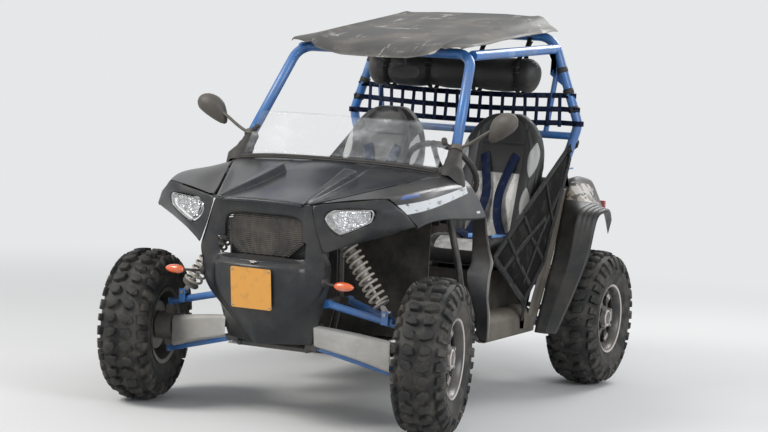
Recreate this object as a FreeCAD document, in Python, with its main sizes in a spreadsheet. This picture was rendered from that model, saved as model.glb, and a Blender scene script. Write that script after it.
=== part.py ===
import FreeCAD, Part
import math
import os
from FreeCAD import Placement, Rotation, Vector

# A side by side utility vehicle, in millimetres. +X is the vehicle's left, -Y its
# front and +Z up. The origin lies on the ground, midway between the axles.

DOC = FreeCAD.newDocument("side_by_side")
SHEET = DOC.addObject("Spreadsheet::Sheet", "sizes")

# alias, value (millimetres or degrees), what it is
SIZES = (
    ("wheelbase", 1956, "front axle to rear axle"),
    ("tyre_radius", 343, "axle to the tips of the lugs"),
    ("lug_height", 25, "how far a lug stands out of the carcass"),
    ("lug_length", 52, "a lug's length round the tyre"),
    ("lug_slant", 6, "a lug's turn away from the axle's direction"),
    ("lugs_each_side", 16, "lugs round each side of a tyre"),
    ("tyre_segments", 22, "flat segments round a tyre's carcass"),
    ("tyre_wall", 14, "thickness of the carcass"),
    ("bead_radius", 160, "inner edge of the tyre"),
    ("front_tyre_width", 240, "front section width"),
    ("rear_tyre_width", 276, "rear section width"),
    ("front_half_track", 705, "middle plane to the middle of a front tyre"),
    ("rear_half_track", 710, "middle plane to the middle of a rear tyre"),
    ("front_rim_width", 192, "over the flanges"),
    ("rear_rim_width", 222, "over the flanges"),
    ("rim_lip_radius", 175, "outside of the flange"),
    ("rim_wall", 6, "thickness of barrel and disc"),
    ("disc_offset", 38, "wheel disc outwards of the tyre's middle"),
    ("hub_radius", 40, "hub behind the wheel disc"),
    ("brake_disc_radius", 108, "brake disc"),
    ("bearing_radius", 22, "stub axle in the knuckle's bearing"),
    ("bearing_gap", 0.5, "running clearance of the stub axle"),
    ("kingpin_inset", 120, "tyre's middle to the kingpin"),
    ("steer_angle", 10.4, "front wheels as parked, turned to the left"),
    ("carrier_radius", 62, "knuckle's bearing carrier"),
    ("carrier_bore", 47, "room for the drive joint in the carrier"),
    ("upper_ball_rise", 112, "upper ball joint above the axle"),
    ("lower_ball_drop", 98, "lower ball joint below the axle"),
    ("ball_housing_height", 28, "housing of a ball joint at the end of an arm"),
    ("steer_arm_reach", 140, "kingpin to the tie rod's ball"),
    ("steer_arm_rise", 29, "underside of the steering arm above the axle"),
    ("rack_radius", 9, "sliding steering rack"),
    ("arm_tube_radius", 16, "suspension arm tube"),
    ("arm_pivot_spread", 100, "pivot of an arm, fore and aft of the axle"),
    ("lower_pivot_x", 210, "lower arm pivot from the middle"),
    ("lower_pivot_z", 345, "lower arm pivot height"),
    ("upper_pivot_x", 250, "upper arm pivot from the middle"),
    ("upper_pivot_z", 535, "upper arm pivot height"),
    ("shock_foot_x", 500, "lower shock eye from the middle"),
    ("shock_head_x", 277, "upper shock eye from the middle"),
    ("shock_head_z", 815, "upper shock eye height"),
    ("shock_lean", 35, "shock in front of the ball joints' plane"),
    ("spring_radius", 42, "outside of a coil spring"),
    ("spring_wire_radius", 6, "wire of a coil spring"),
    ("spring_coils", 9, "turns of a coil spring"),
    ("frame_radius", 16, "main frame tube"),
    ("rail_x", 165, "lower frame rail from the middle"),
    ("rail_z", 330, "lower frame rail height"),
    ("rail_end_y", 1085, "lower rails reach this far fore and aft"),
    ("tower_x", 232, "shock tower tube from the middle"),
    ("cowl_z", 1040, "cowl tube under the front pillars"),
    ("cowl_y", -528, "cowl tube, fore and aft"),
    ("cage_radius", 24, "roll cage tube"),
    ("pillar_top_x", 449, "front pillar's upper bend"),
    ("pillar_top_y", -137, "front pillar's upper bend"),
    ("pillar_top_z", 1634, "front pillar's upper bend"),
    ("pillar_foot_x", 545, "front pillar's foot"),
    ("pillar_foot_y", -512, "front pillar's foot"),
    ("pillar_foot_z", 1092, "front pillar's foot"),
    ("hoop_y", 850, "rear hoop's plane"),
    ("hoop_foot_x", 565, "rear hoop's foot"),
    ("hoop_foot_z", 1098, "rear hoop's foot"),
    ("hoop_knee_x", 630, "widest point of the rear hoop"),
    ("hoop_knee_z", 1315, "height of the hoop's widest point"),
    ("hoop_top_x", 478, "rear hoop's upper bend"),
    ("hoop_top_z", 1750, "rear hoop's top tube"),
    ("rail_drop", 60, "side rail's rear end below the hoop's top"),
    ("cross_bar_z", 1257, "cross bar behind the seats"),
    ("roof_thickness", 5, "roof sheet"),
    ("panel_thickness", 5, "moulded body panels"),
    ("shield_thickness", 5, "half windshield"),
    ("hood_front_y", -1247, "hood's front edge"),
    ("hood_rear_y", -592, "hood's rear edge"),
    ("hood_front_half", 230, "half the hood's front edge"),
    ("hood_rear_half", 527, "half the hood's rear edge"),
    ("hood_front_z", 966, "hood's front corner"),
    ("hood_rear_z", 1095, "hood's rear corner"),
    ("floor_z", 346.9, "underside of the cab floor"),
    ("cab_wall", 6, "cab floor and walls"),
    ("cab_half", 480, "cab tub from the middle"),
    ("cab_front_y", -560, "toe board"),
    ("cab_rear_y", 625, "cab's rear wall"),
    ("sill_height", 80, "sill above the cab's underside"),
    ("rocker_width", 120, "rocker panel's outside from the tub"),
    ("sill_tube_gap", 92, "outer sill tube's middle from the tub"),
    ("seat_x", 325, "seat's middle from the vehicle's middle"),
    ("seat_width", 472, "bucket seat"),
    ("seat_top_z", 1370, "top of the backrest"),
    ("box_half", 505, "cargo box from the middle"),
    ("box_front_y", 905, "cargo box front wall"),
    ("box_rear_y", 1322, "cargo box rear wall"),
    ("box_floor_z", 866, "cargo box underside"),
    ("box_depth", 150, "cargo box height"),
    ("box_wall", 6, "cargo box wall"),
    ("steering_wheel_radius", 175, "middle of the rim to the column"),
    ("steering_wheel_x", 300, "column from the middle"),
    ("steering_wheel_y", -70, "hub of the steering wheel"),
    ("steering_wheel_z", 1075, "hub of the steering wheel"),
    ("column_tilt", 38, "column's rise towards the driver"),
    ("grille_half", 188, "half the grille's width"),
    ("grille_low_z", 718, "grille's lower edge"),
    ("grille_high_z", 912, "grille's upper edge"),
    ("hitch_bore_radius", 9.6, "hole for a hitch ball's shank"),
    ("case_output_z", 405, "drive shafts leave the gear cases at this height"),
    ("hitch_plate_thickness", 10, "hitch plate"),
    ("seam", 0.4, "gap between neighbouring pieces"),
    ("bumper_reach", 1338, "rear bumper's back edge"),
)
for row, (alias, value, meaning) in enumerate(SIZES, start=1):
    SHEET.set(f"A{row}", meaning)
    SHEET.set(f"B{row}", str(value))
    SHEET.setAlias(f"B{row}", alias)
DOC.recompute()


class Sizes:
    """Reads a driving dimension from the sheet by its alias."""

    def __getattr__(self, alias):
        return float(SHEET.get(alias))


d = Sizes()
ROCKER_HALF = d.cab_half + d.rocker_width
SILL_TUBE_X = d.cab_half + d.sill_tube_gap
PARTS = []
AXLE_Z = d.tyre_radius
FRONT_Y = -d.wheelbase / 2
REAR_Y = d.wheelbase / 2
SIDES = (1, -1)


# Shapes that several pieces share

def keep(obj, label):
    """Names a finished sub-part and puts it on the list that is written out."""
    obj.Label = label
    PARTS.append(obj)
    return obj


def feature(label, solids, placement=None):
    """A sub-part whose shape is worked out here: one solid, or several that don't touch."""
    obj = DOC.addObject("Part::Feature", label)
    solids = [s for item in solids for s in item.Solids]
    obj.Shape = solids[0] if len(solids) == 1 else Part.makeCompound(solids)
    if placement:
        obj.Placement = placement
    return keep(obj, label)


def fused(shapes):
    return shapes[0].multiFuse(shapes[1:]).removeSplitter() if len(shapes) > 1 else shapes[0]


def mirrored(shape):
    return shape.mirror(Vector(0, 0, 0), Vector(1, 0, 0))


def both_sides(shape):
    return [shape, mirrored(shape)]


def side_point(point, side):
    return Vector(point[0] * side, point[1], point[2])


def rod(start, end, radius, radius_2=None):
    """A round bar or cone between two points."""
    start, end = Vector(*start), Vector(*end)
    run = end - start
    if radius_2 is None:
        return Part.makeCylinder(radius, run.Length, start, run)
    return Part.makeCone(radius, radius_2, run.Length, start, run)


def bent_tube(points, radius, bend):
    """A round tube along straight runs joined by tangent arcs."""
    points = [Vector(*p) for p in points]
    edges, last = [], points[0]
    for before, corner, after in zip(points, points[1:], points[2:]):
        into = (before - corner).normalize()
        out = (after - corner).normalize()
        half = into.getAngle(out) / 2
        cut = min(bend / math.tan(half), 0.48 * (before - corner).Length,
                  0.48 * (after - corner).Length)
        middle = corner + (into + out).normalize() * (
            cut / math.cos(half) - cut * math.tan(half))
        first, second = corner + into * cut, corner + out * cut
        if (first - last).Length > 0.01:
            edges.append(Part.LineSegment(last, first).toShape())
        edges.append(Part.Arc(first, middle, second).toShape())
        last = second
    edges.append(Part.LineSegment(last, points[-1]).toShape())
    section = Part.Wire([Part.makeCircle(radius, points[0], points[1] - points[0])])
    return Part.Wire(edges).makePipeShell([section], True, False)


def skin(rows, thickness):
    """A moulded panel: a grid of points on its face, made thick along the normals."""
    count, width = len(rows), len(rows[0])
    face = [[Vector(*p) for p in row] for row in rows]
    normal = [[Vector(0, 0, 0) for _ in row] for row in rows]
    cells = []
    for i in range(count - 1):
        for j in range(width - 1):
            cells.append(((i, j), (i + 1, j), (i + 1, j + 1)))
            cells.append(((i, j), (i + 1, j + 1), (i, j + 1)))
    for a, b, c in cells:
        pa, pb, pc = (face[i][j] for i, j in (a, b, c))
        cross = (pb - pa).cross(pc - pa).normalize()
        for i, j in (a, b, c):
            normal[i][j] = normal[i][j] + cross
    back = [[face[i][j] - normal[i][j].normalize() * thickness for j in range(width)]
            for i in range(count)]
    faces = []
    for cell in cells:
        faces.append([face[i][j] for i, j in cell])
        faces.append([back[i][j] for i, j in reversed(cell)])
    rim = ([(0, j) for j in range(width)] + [(i, width - 1) for i in range(1, count)]
           + [(count - 1, j) for j in range(width - 2, -1, -1)]
           + [(i, 0) for i in range(count - 2, 0, -1)])
    for (i, j), (k, m) in zip(rim, rim[1:] + rim[:1]):
        faces.append([face[i][j], face[k][m], back[k][m]])
        faces.append([face[i][j], back[k][m], back[i][j]])
    shell = Part.makeShell([Part.Face(Part.makePolygon(f + f[:1])) for f in faces])
    solid = Part.makeSolid(shell)
    if solid.Volume < 0:
        solid.reverse()
    return solid


def slab(points, run):
    """A flat plate: a polygon pushed along a vector."""
    points = [Vector(*p) for p in points]
    return Part.Face(Part.makePolygon(points + points[:1])).extrude(Vector(*run))


def block(low, high):
    low, high = Vector(*low), Vector(*high)
    size = high - low
    return Part.makeBox(size.x, size.y, size.z, low)


def revolved_body(label, outline, placement):
    """A body turned about its own X axis from an outline of (x, radius) points."""
    body = DOC.addObject("PartDesign::Body", label)
    plane = [f for f in body.Origin.OriginFeatures if f.Role == "XZ_Plane"][0]
    sketch = body.newObject("Sketcher::SketchObject", label + "_section")
    sketch.AttachmentSupport = (plane, "")
    sketch.MapMode = "FlatFace"
    points = [Vector(x, radius, 0) for x, radius in outline]
    for first, second in zip(points, points[1:] + points[:1]):
        sketch.addGeometry(Part.LineSegment(first, second), False)
    turned = body.newObject("PartDesign::Revolution", label + "_turned")
    turned.Profile = sketch
    turned.ReferenceAxis = (sketch, ["H_Axis"])
    turned.Angle = 360
    DOC.recompute()
    body.Placement = placement
    return body


# Wheels: tyre and rim, turned about the wheel's own axis and then put in place

def wheel_placement(side, front):
    """The wheel's frame: +X points outwards along the axle."""
    if not front:
        turn = Rotation(Vector(0, 0, 1), 0 if side > 0 else 180)
        return Placement(Vector(side * d.rear_half_track, REAR_Y, AXLE_Z), turn)
    turn = Rotation(Vector(0, 0, 1), d.steer_angle + (0 if side > 0 else 180))
    kingpin = Vector(side * (d.front_half_track - d.kingpin_inset), FRONT_Y, AXLE_Z)
    return Placement(kingpin + turn.multVec(Vector(d.kingpin_inset, 0, 0)), turn)


def carcass_outline(width, rim_width):
    """The tyre without its lugs in section, right side first, points x and radius."""
    half, bead = width / 2, rim_width / 2 - d.rim_wall - d.seam
    bulge = d.bead_radius + 0.52 * (d.tyre_radius - d.bead_radius)
    crown = d.tyre_radius - d.lug_height
    flat = math.cos(math.pi / d.tyre_segments)  # a flat's middle lies nearer the axle by this
    right = [(bead, d.bead_radius / flat), (bead, d.rim_lip_radius / flat), (half - 4, bulge),
             (half - 42, crown)]
    right_inner = [(half - 46, crown - d.tyre_wall), (bead - d.tyre_wall, d.rim_lip_radius)]
    left = [(-x, radius) for x, radius in reversed(right)]
    left_inner = [(-x, radius) for x, radius in reversed(right_inner)]
    return right + left + left_inner + right_inner


def ring_of_flats(outline, segments):
    """A ring about the X axis whose round faces are flat segments."""
    rings = []
    for step in range(segments):
        turn = math.tau * step / segments
        rings.append([Vector(x, radius * math.sin(turn), radius * math.cos(turn))
                      for x, radius in outline])
    faces = []
    for near, far in zip(rings, rings[1:] + rings[:1]):
        for i in range(len(outline)):
            j = (i + 1) % len(outline)
            corners = [near[i], near[j], far[j], far[i], near[i]]
            faces.append(Part.Face(Part.makePolygon(corners)))
    ring = Part.Solid(Part.Shell(faces))
    if ring.Volume < 0:
        ring.reverse()
    return ring


def tyre_shape(width, rim_width):
    """Carcass with staggered lugs that wrap over both shoulders."""
    half, top, foot = width / 2, d.tyre_radius, d.tyre_radius - d.lug_height - 8
    section = [(4, top), (half - 48, top), (half - 20, top - 38), (half - 12, top - 72),
               (half - 50, foot), (4, foot)]
    near = [(x, -d.lug_length / 2, radius) for x, radius in section]
    pitches = int(d.lugs_each_side)
    lugs = []
    for hand in SIDES:
        lug = slab([(hand * x, y, radius) for x, y, radius in near], (0, d.lug_length, 0))
        lug.rotate(Vector(hand * half / 2, 0, 0), Vector(0, 0, 1), -hand * d.lug_slant)
        for step in range(pitches):
            turned = lug.copy()
            share = step + (0 if hand > 0 else 0.5)
            turned.rotate(Vector(0, 0, 0), Vector(1, 0, 0), 360 * share / pitches)
            lugs.append(turned)
    carcass = ring_of_flats(carcass_outline(width, rim_width), int(d.tyre_segments))
    return carcass.multiFuse(lugs)


def rim_outline(rim_width):
    """Half of the rim seen in section: barrel, disc, hub, brake disc and stub axle."""
    half, wall = rim_width / 2, d.rim_wall
    seat, lip, hub = d.bead_radius - d.seam, d.rim_lip_radius, d.hub_radius
    disc, stub = d.disc_offset, -d.kingpin_inset + 42
    return [(half, lip), (half - wall, lip), (half - wall, seat), (30, seat - 14),
            (-30, seat - 14), (wall - half, seat), (wall - half, lip), (-half, lip),
            (-half, seat - wall), (-34, seat - wall - 14), (disc - wall, seat - wall - 14),
            (disc - wall, hub + 24), (disc - 14, hub + 24), (disc - 14, hub), (-53, hub),
            (-53, d.brake_disc_radius), (-58, d.brake_disc_radius), (-58, hub), (-62, hub),
            (-62, d.bearing_radius), (stub, d.bearing_radius), (stub, 8), (disc + 26, 8),
            (disc + 26, hub - 8), (disc + 2, hub - 2), (disc + 2, seat - wall - 12),
            (half - 8, seat - wall)]


def rim_windows(label, rim, placement):
    """Six openings in the wheel disc."""
    cutter = Part.makeCylinder(17, 40, Vector(d.disc_offset - 20, 0, d.hub_radius + 58),
                               Vector(1, 0, 0))
    holes = []
    for step in range(6):
        hole = cutter.copy()
        hole.rotate(Vector(0, 0, 0), Vector(1, 0, 0), 60 * step)
        holes.append(hole)
    windows = DOC.addObject("Part::Feature", label + "_windows")
    windows.Shape = Part.makeCompound(holes)
    windows.Placement = placement
    cut = DOC.addObject("Part::Cut", label)
    cut.Base, cut.Tool = rim, windows
    return cut


WHEELS = (("front_left", 1, True), ("front_right", -1, True),
          ("rear_left", 1, False), ("rear_right", -1, False))
for place, side, front in WHEELS:
    tyre_width = d.front_tyre_width if front else d.rear_tyre_width
    rim_width = d.front_rim_width if front else d.rear_rim_width
    where = wheel_placement(side, front)
    feature("tyre_" + place, [tyre_shape(tyre_width, rim_width)], where)
    rim = revolved_body("rim_blank_" + place, rim_outline(rim_width), where)
    keep(rim_windows("rim_" + place, rim, where), "rim_" + place)


# Knuckles at the front, fixed uprights at the rear, in the wheel's frame

def carrier(steered):
    kingpin = -d.kingpin_inset
    inner, outer = kingpin - 20, kingpin + 54
    ring = Part.makeCylinder(d.carrier_radius, outer - inner, Vector(inner, 0, 0),
                             Vector(1, 0, 0))
    ball_room = d.ball_housing_height / 2 + d.seam
    lugs = [block((kingpin - 18, -20, d.carrier_radius - 20),
                  (kingpin + 18, 20, d.upper_ball_rise - ball_room)),
            block((kingpin - 18, -20, ball_room - d.lower_ball_drop),
                  (kingpin + 18, 20, 20 - d.carrier_radius))]
    if steered:
        lugs.append(block((kingpin - 14, d.carrier_radius - 22, d.steer_arm_rise),
                          (kingpin + 14, d.steer_arm_reach + 14, d.steer_arm_rise + 12)))
    body = fused([ring] + lugs)
    joint_room = Part.makeCylinder(d.carrier_bore, outer - inner - 12,
                                   Vector(inner, 0, 0), Vector(1, 0, 0))
    bearing = Part.makeCylinder(d.bearing_radius + d.bearing_gap, outer - inner,
                                Vector(inner, 0, 0), Vector(1, 0, 0))
    body = body.cut(joint_room).cut(bearing)
    if steered:
        pin = Vector(kingpin, d.steer_arm_reach, d.steer_arm_rise - 4)
        body = body.cut(Part.makeCylinder(6, 20, pin))
    return body


for side, name in ((1, "knuckle_left"), (-1, "knuckle_right")):
    # The steering arms point to the rear on both sides.
    shape = carrier(True)
    if side < 0:
        shape = shape.mirror(Vector(0, 0, 0), Vector(0, 1, 0))
    feature(name, [shape], wheel_placement(side, True))
uprights = []
for side in SIDES:
    shape = carrier(False)
    shape.Placement = wheel_placement(side, False)
    uprights.append(shape)
feature("rear_uprights", uprights)


# Suspension arms: two legs, a ball joint and two pivot sleeves each

def kingpin_x(front):
    return (d.front_half_track if front else d.rear_half_track) - d.kingpin_inset


def suspension_arm(front, upper):
    axle_y = FRONT_Y if front else REAR_Y
    ball_z = AXLE_Z + (d.upper_ball_rise if upper else -d.lower_ball_drop)
    ball = (kingpin_x(front), axle_y, ball_z)
    pivot_x = d.upper_pivot_x if upper else d.lower_pivot_x
    pivot_z = d.upper_pivot_z if upper else d.lower_pivot_z
    half = d.ball_housing_height / 2
    pieces = [Part.makeCylinder(18, 2 * half, Vector(ball[0], ball[1], ball_z - half))]
    over = block((ball[0] - 60, ball[1] - 60, ball_z + half), (ball[0] + 60, ball[1] + 60, ball_z + 80))
    under = block((ball[0] - 60, ball[1] - 60, ball_z - 80), (ball[0] + 60, ball[1] + 60, ball_z - half))
    for end in (-1, 1):
        pivot = (pivot_x, axle_y + end * d.arm_pivot_spread, pivot_z)
        pieces.append(rod(pivot, ball, d.arm_tube_radius).cut(over).cut(under))
        pieces.append(Part.makeCylinder(18, 44, Vector(pivot[0], pivot[1] - 22, pivot_z),
                                        Vector(0, 1, 0)))
    if upper:
        foot = shock_foot(front)
        pieces.append(block((foot.x - 16, foot.y - 21.5, foot.z - 44),
                            (foot.x + 16, axle_y + 2, foot.z - 17)))
        for end in (-1, 1):
            cheek = foot.y + end * 19
            pieces.append(block((foot.x - 16, cheek - 2.5, foot.z - 44),
                                (foot.x + 16, cheek + 2.5, foot.z + 14)))
    return fused(pieces)


def shock_foot(front):
    axle_y = FRONT_Y if front else REAR_Y
    return Vector(d.shock_foot_x, axle_y - d.shock_lean, AXLE_Z + d.upper_ball_rise + 54)


def shock_head(front):
    axle_y = FRONT_Y if front else REAR_Y
    return Vector(d.shock_head_x, axle_y - d.shock_lean, d.shock_head_z)


arms = []
for front in (True, False):
    for upper in (True, False):
        arms += both_sides(suspension_arm(front, upper))
feature("suspension_arms", arms)


def shock(front):
    """Damper with its coil as a ribbed sleeve, eyes across the axle."""
    foot, head = shock_foot(front), shock_head(front)
    length = (head - foot).Length
    low, high = 52, length - 44
    coils = int(d.spring_coils)
    outline = [(0, 0), (0, 14), (low - 10, 14), (low - 10, d.spring_radius - 4),
               (low, d.spring_radius - 4)]
    pitch = (high - low) / coils
    for turn in range(coils):
        start = low + turn * pitch
        outline += [(start + 0.2 * pitch, d.spring_radius), (start + 0.5 * pitch, d.spring_radius),
                    (start + 0.7 * pitch, d.spring_radius - 2 * d.spring_wire_radius)]
    outline += [(high, d.spring_radius - 4), (high + 8, d.spring_radius - 4), (high + 8, 22),
                (length - 30, 22), (length - 30, 14), (length, 14), (length, 0)]
    points = [Vector(x, radius, 0) for x, radius in outline]
    face = Part.Face(Part.makePolygon(points + points[:1]))
    body = face.revolve(Vector(0, 0, 0), Vector(1, 0, 0), 360)
    body.Placement = Placement(foot, Rotation(Vector(1, 0, 0), head - foot))
    eyes = [Part.makeCylinder(16, 32, Vector(p.x, p.y - 16, p.z), Vector(0, 1, 0)) for p in (foot, head)]
    return fused([body] + eyes)


shocks = []
for front in (True, False):
    shocks += both_sides(shock(front))
feature("coil_shocks", shocks)


# Drive line: gear cases, engine as one block, half shafts with their joints

def half_shaft(front):
    axle_y = FRONT_Y if front else REAR_Y
    ball = Vector(kingpin_x(front), axle_y, AXLE_Z)
    root = Vector(116 + d.seam, axle_y, d.case_output_z)
    along = (ball - root).normalize()
    shaft = fused([rod(root, ball, 13), rod(root - along * 12, root + along * 52, 34),
                   rod(root + along * 52, root + along * 110, 30, 16),
                   rod(ball - along * 150, ball - along * 62, 16, 27), Part.makeSphere(40, ball)])
    return shaft.cut(block((0, axle_y - 90, 300), (root.x, axle_y + 90, 500)))


def gear_case(axle_y):
    """Stands between the two lower cross tubes of its bulkhead."""
    reach = d.arm_pivot_spread - d.frame_radius - d.seam
    return block((-116, axle_y - reach, d.rail_z - 8), (116, axle_y + reach, d.case_output_z + 66))


feature("half_shafts", both_sides(half_shaft(True)) + both_sides(half_shaft(False)))
engine = block((-205, 655, 400), (205, 845, 800))
link = block((-60, 800, 410), (60, REAR_Y - 60, 460))
feature("engine_block", [gear_case(FRONT_Y), fused([engine, link, gear_case(REAR_Y)])])


# Frame: lower rails, bulkheads, towers, cowl and the tubes that carry the cage

RAIL = (d.rail_x, d.rail_z)
SHELF_X = d.upper_pivot_x - 42
HEAD_Z = d.shock_head_z + 34
POST_X = d.cab_half + 38


def welded(members, plates):
    """Tubes and plates as one piece; a ball at each joint makes the welded corner clean."""
    joints = {tuple(round(c, 3) for c in point): point for member in members for point in member}
    balls = [Part.makeSphere(1.04 * d.frame_radius, Vector(*point)) for point in joints.values()]
    return fused([rod(a, b, d.frame_radius) for a, b in members] + balls + plates)


def pivot_plates(root_x, pivot_x, pivot_z, axle_y, side):
    """Two pairs of plates that hold an arm's pivots."""
    left, right = sorted((side * root_x, side * (pivot_x + 12)))
    plates = []
    for way in (-1, 1):
        for end in (-1, 1):
            y = axle_y + way * d.arm_pivot_spread
            near, far = sorted((y + end * 22.4, y + end * 27.4))
            plates.append(block((left, near, pivot_z - 14), (right, far, pivot_z + 14)))
    return plates


def lower_frame():
    """Two rails with their cross tubes, the cowl tube and the posts under it."""
    x, z = RAIL
    low_y = [axle_y + way * d.arm_pivot_spread for axle_y in (FRONT_Y, REAR_Y) for way in (-1, 1)]
    members = [((-x, y, z), (x, y, z)) for y in low_y]
    members += [((-POST_X - 38, y, z), (POST_X + 38, y, z)) for y in (-150, 500)]
    cowl_x = (-545, -330, 330, 545)
    members += [((a, d.cowl_y, d.cowl_z), (b, d.cowl_y, d.cowl_z)) for a, b in zip(cowl_x, cowl_x[1:])]
    plates = []
    for s in SIDES:
        members.append(((s * x, -d.rail_end_y, z), (s * x, d.rail_end_y, z)))
        members.append(((s * POST_X, d.cowl_y, d.cowl_z), (s * POST_X, -330, 700)))
        members.append(((s * POST_X, -330, 700), (s * POST_X, -150, z)))
        for axle_y in (FRONT_Y, REAR_Y):
            plates += pivot_plates(x, d.lower_pivot_x, d.lower_pivot_z, axle_y, s)
    # the steering rack runs in a sleeve on the front bulkhead's rear cross tube
    rack_z = AXLE_Z + d.steer_arm_rise - 11
    rack_y = FRONT_Y + d.steer_arm_reach * math.cos(math.radians(d.steer_angle))
    plates.append(Part.makeCylinder(15, 120, Vector(-60, rack_y, rack_z), Vector(1, 0, 0)))
    plates.append(block((-40, FRONT_Y + d.arm_pivot_spread, z + 6), (40, rack_y, z + 20)))
    body = welded(members, plates)
    return body.cut(Part.makeCylinder(d.rack_radius + 0.3, 130, Vector(-65, rack_y, rack_z),
                                      Vector(1, 0, 0)))


def bulkhead(axle_y):
    """Four uprights that carry the upper arms and the shocks."""
    x, z = RAIL
    head_y = [axle_y - d.shock_lean + way * 62 for way in (-1, 1)]
    foot_y = [axle_y + way * d.arm_pivot_spread for way in (-1, 1)]
    members, plates = [], []
    for s in SIDES:
        heads = [(s * d.tower_x, y, HEAD_Z) for y in head_y]
        shelf = [(s * SHELF_X, y, d.upper_pivot_z) for y in foot_y]
        for y, knee, head in zip(foot_y, shelf, heads):
            members += [((s * x, y, z), knee), (knee, head)]
        members += [tuple(shelf), tuple(heads)]
        if axle_y < 0:
            members.append((heads[1], (s * 330, d.cowl_y, d.cowl_z)))
        plates += pivot_plates(SHELF_X, d.upper_pivot_x, d.upper_pivot_z, axle_y, s)
        for end in (-1, 1):
            y = axle_y - d.shock_lean + end * 19
            left, right = sorted((s * d.tower_x, s * (d.shock_head_x + 14)))
            plates.append(block((left, y - 2.5, d.shock_head_z - 14), (right, y + 2.5, HEAD_Z + 8)))
    members.append(((-d.tower_x, head_y[1], HEAD_Z), (d.tower_x, head_y[1], HEAD_Z)))
    if axle_y < 0:
        members.append(((-214, head_y[0], 620), (214, head_y[0], 620)))
        plates += [block((s * 120 - 15, -1164, 630), (s * 120 + 15, head_y[0], 636)) for s in SIDES]
    return largest(welded(members, plates).cut(LOWER_FRAME))


def largest(shape):
    return max(shape.Solids, key=lambda solid: solid.Volume)


LOWER_FRAME = lower_frame()
FRAME = [LOWER_FRAME, bulkhead(FRONT_Y), bulkhead(REAR_Y)]


def clear_of_frame(shape):
    for tubes in FRAME:
        shape = shape.cut(tubes)
    return largest(shape)


def parted(shape, axis, places):
    """The same solid in pieces that meet face to face at places along the axis."""
    reach = 3000
    pieces = []
    for low, high in zip([-reach] + places, places + [reach]):
        first, last = [-reach] * 3, [reach] * 3
        first[axis], last[axis] = low, high
        pieces += shape.common(block(first, last)).Solids
    return pieces


ladder, *posts = sorted(parted(LOWER_FRAME, 2, [d.rail_z + 105]), key=lambda solid: -solid.Volume)
feature("frame_tubes", parted(ladder, 1, [-700, 700]) + posts)
feature("front_bulkhead", parted(FRAME[1], 0, [0]))
feature("rear_bulkhead", parted(FRAME[2], 0, [0]))
skid_top = d.rail_z - 1.05 * d.frame_radius
feature("skid_plate", [block((-250, -1040, skid_top - 5), (250, 1040, skid_top))])

# Muffler on two hangers from the rear towers
hangers = [rod((s * 150, 1190, 640), (s * 214, 1058, 620), 8) for s in SIDES]
feature("muffler", [clear_of_frame(fused([rod((-190, 1190, 640), (190, 1190, 640), 72)] + hangers))])

# Half windshield: rows from bottom to top, columns x, y, z on one side
SHIELD_ROWS = (((0, -589, 1134), (300, -585, 1131), (500, -566, 1112)),
               ((0, -488, 1230), (300, -486, 1230), (500, -476, 1224)),
               ((0, -388, 1327), (300, -389, 1327), (495, -398, 1326)))
shield_rows = [[(-x, y, z) for x, y, z in reversed(row[1:])] + list(row) for row in SHIELD_ROWS]
SHIELD = skin(shield_rows, d.shield_thickness)
feature("windshield", [SHIELD])

# Roll cage

def front_hoop():
    foot = (d.pillar_foot_x, d.pillar_foot_y, d.pillar_foot_z)
    top = (d.pillar_top_x, d.pillar_top_y, d.pillar_top_z)
    path = [foot, top, side_point(top, -1), side_point(foot, -1)]
    feet = [rod((s * d.pillar_foot_x, d.pillar_foot_y, d.cowl_z),
                (s * d.pillar_foot_x, d.pillar_foot_y, d.pillar_foot_z + 12), d.cage_radius + 6)
            for s in SIDES]
    clamps = []
    for s in SIDES:
        for z in (1180, 1290):
            share = (z - d.pillar_foot_z) / (d.pillar_top_z - d.pillar_foot_z)
            x = s * (d.pillar_foot_x + share * (d.pillar_top_x - d.pillar_foot_x))
            y = d.pillar_foot_y + share * (d.pillar_top_y - d.pillar_foot_y)
            clamps.append(rod((x, y, z), (x - s * 22, y - 90, z), 9))
    hoop = largest(fused([bent_tube(path, d.cage_radius, 85)] + feet + clamps).cut(SHIELD))
    return clear_of_frame(hoop)


def hoop_x_at(z):
    share = (z - d.hoop_knee_z) / (d.hoop_top_z - d.hoop_knee_z)
    return d.hoop_knee_x + share * (d.hoop_top_x - d.hoop_knee_x)


def rear_hoop():
    half = [(d.hoop_foot_x, d.hoop_y, d.hoop_foot_z), (d.hoop_knee_x, d.hoop_y, d.hoop_knee_z),
            (d.hoop_top_x, d.hoop_y - 22, d.hoop_top_z)]
    path = half + [side_point(p, -1) for p in reversed(half)]
    bar_x = hoop_x_at(d.cross_bar_z) - 20
    pieces = [bent_tube(path, d.cage_radius, 110),
              rod((-bar_x, d.hoop_y, d.cross_bar_z), (bar_x, d.hoop_y, d.cross_bar_z), 19)]
    for s in SIDES:
        pieces.append(block((s * d.hoop_foot_x - 38, d.hoop_y - 45, d.hoop_foot_z - 8),
                            (s * d.hoop_foot_x + 38, d.hoop_y + 45, d.hoop_foot_z)))
        brace_z = d.hoop_top_z - 110
        pieces.append(rod((s * (hoop_x_at(brace_z) - 10), d.hoop_y, brace_z),
                          (s * (hoop_x_at(brace_z) - 60), d.hoop_y, d.cross_bar_z), 14))
    return fused(pieces)


HOOPS = {"front": front_hoop(), "rear": rear_hoop()}
feature("cage_front_hoop", [HOOPS["front"]])
feature("cage_rear_hoop", [HOOPS["rear"]])


def rail_ends():
    start = Vector(d.pillar_top_x - 4, d.pillar_top_y + 14, d.pillar_top_z - 6)
    return start, Vector(hoop_x_at((d.hoop_top_z - d.rail_drop)), d.hoop_y - 18, (d.hoop_top_z - d.rail_drop))


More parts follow.
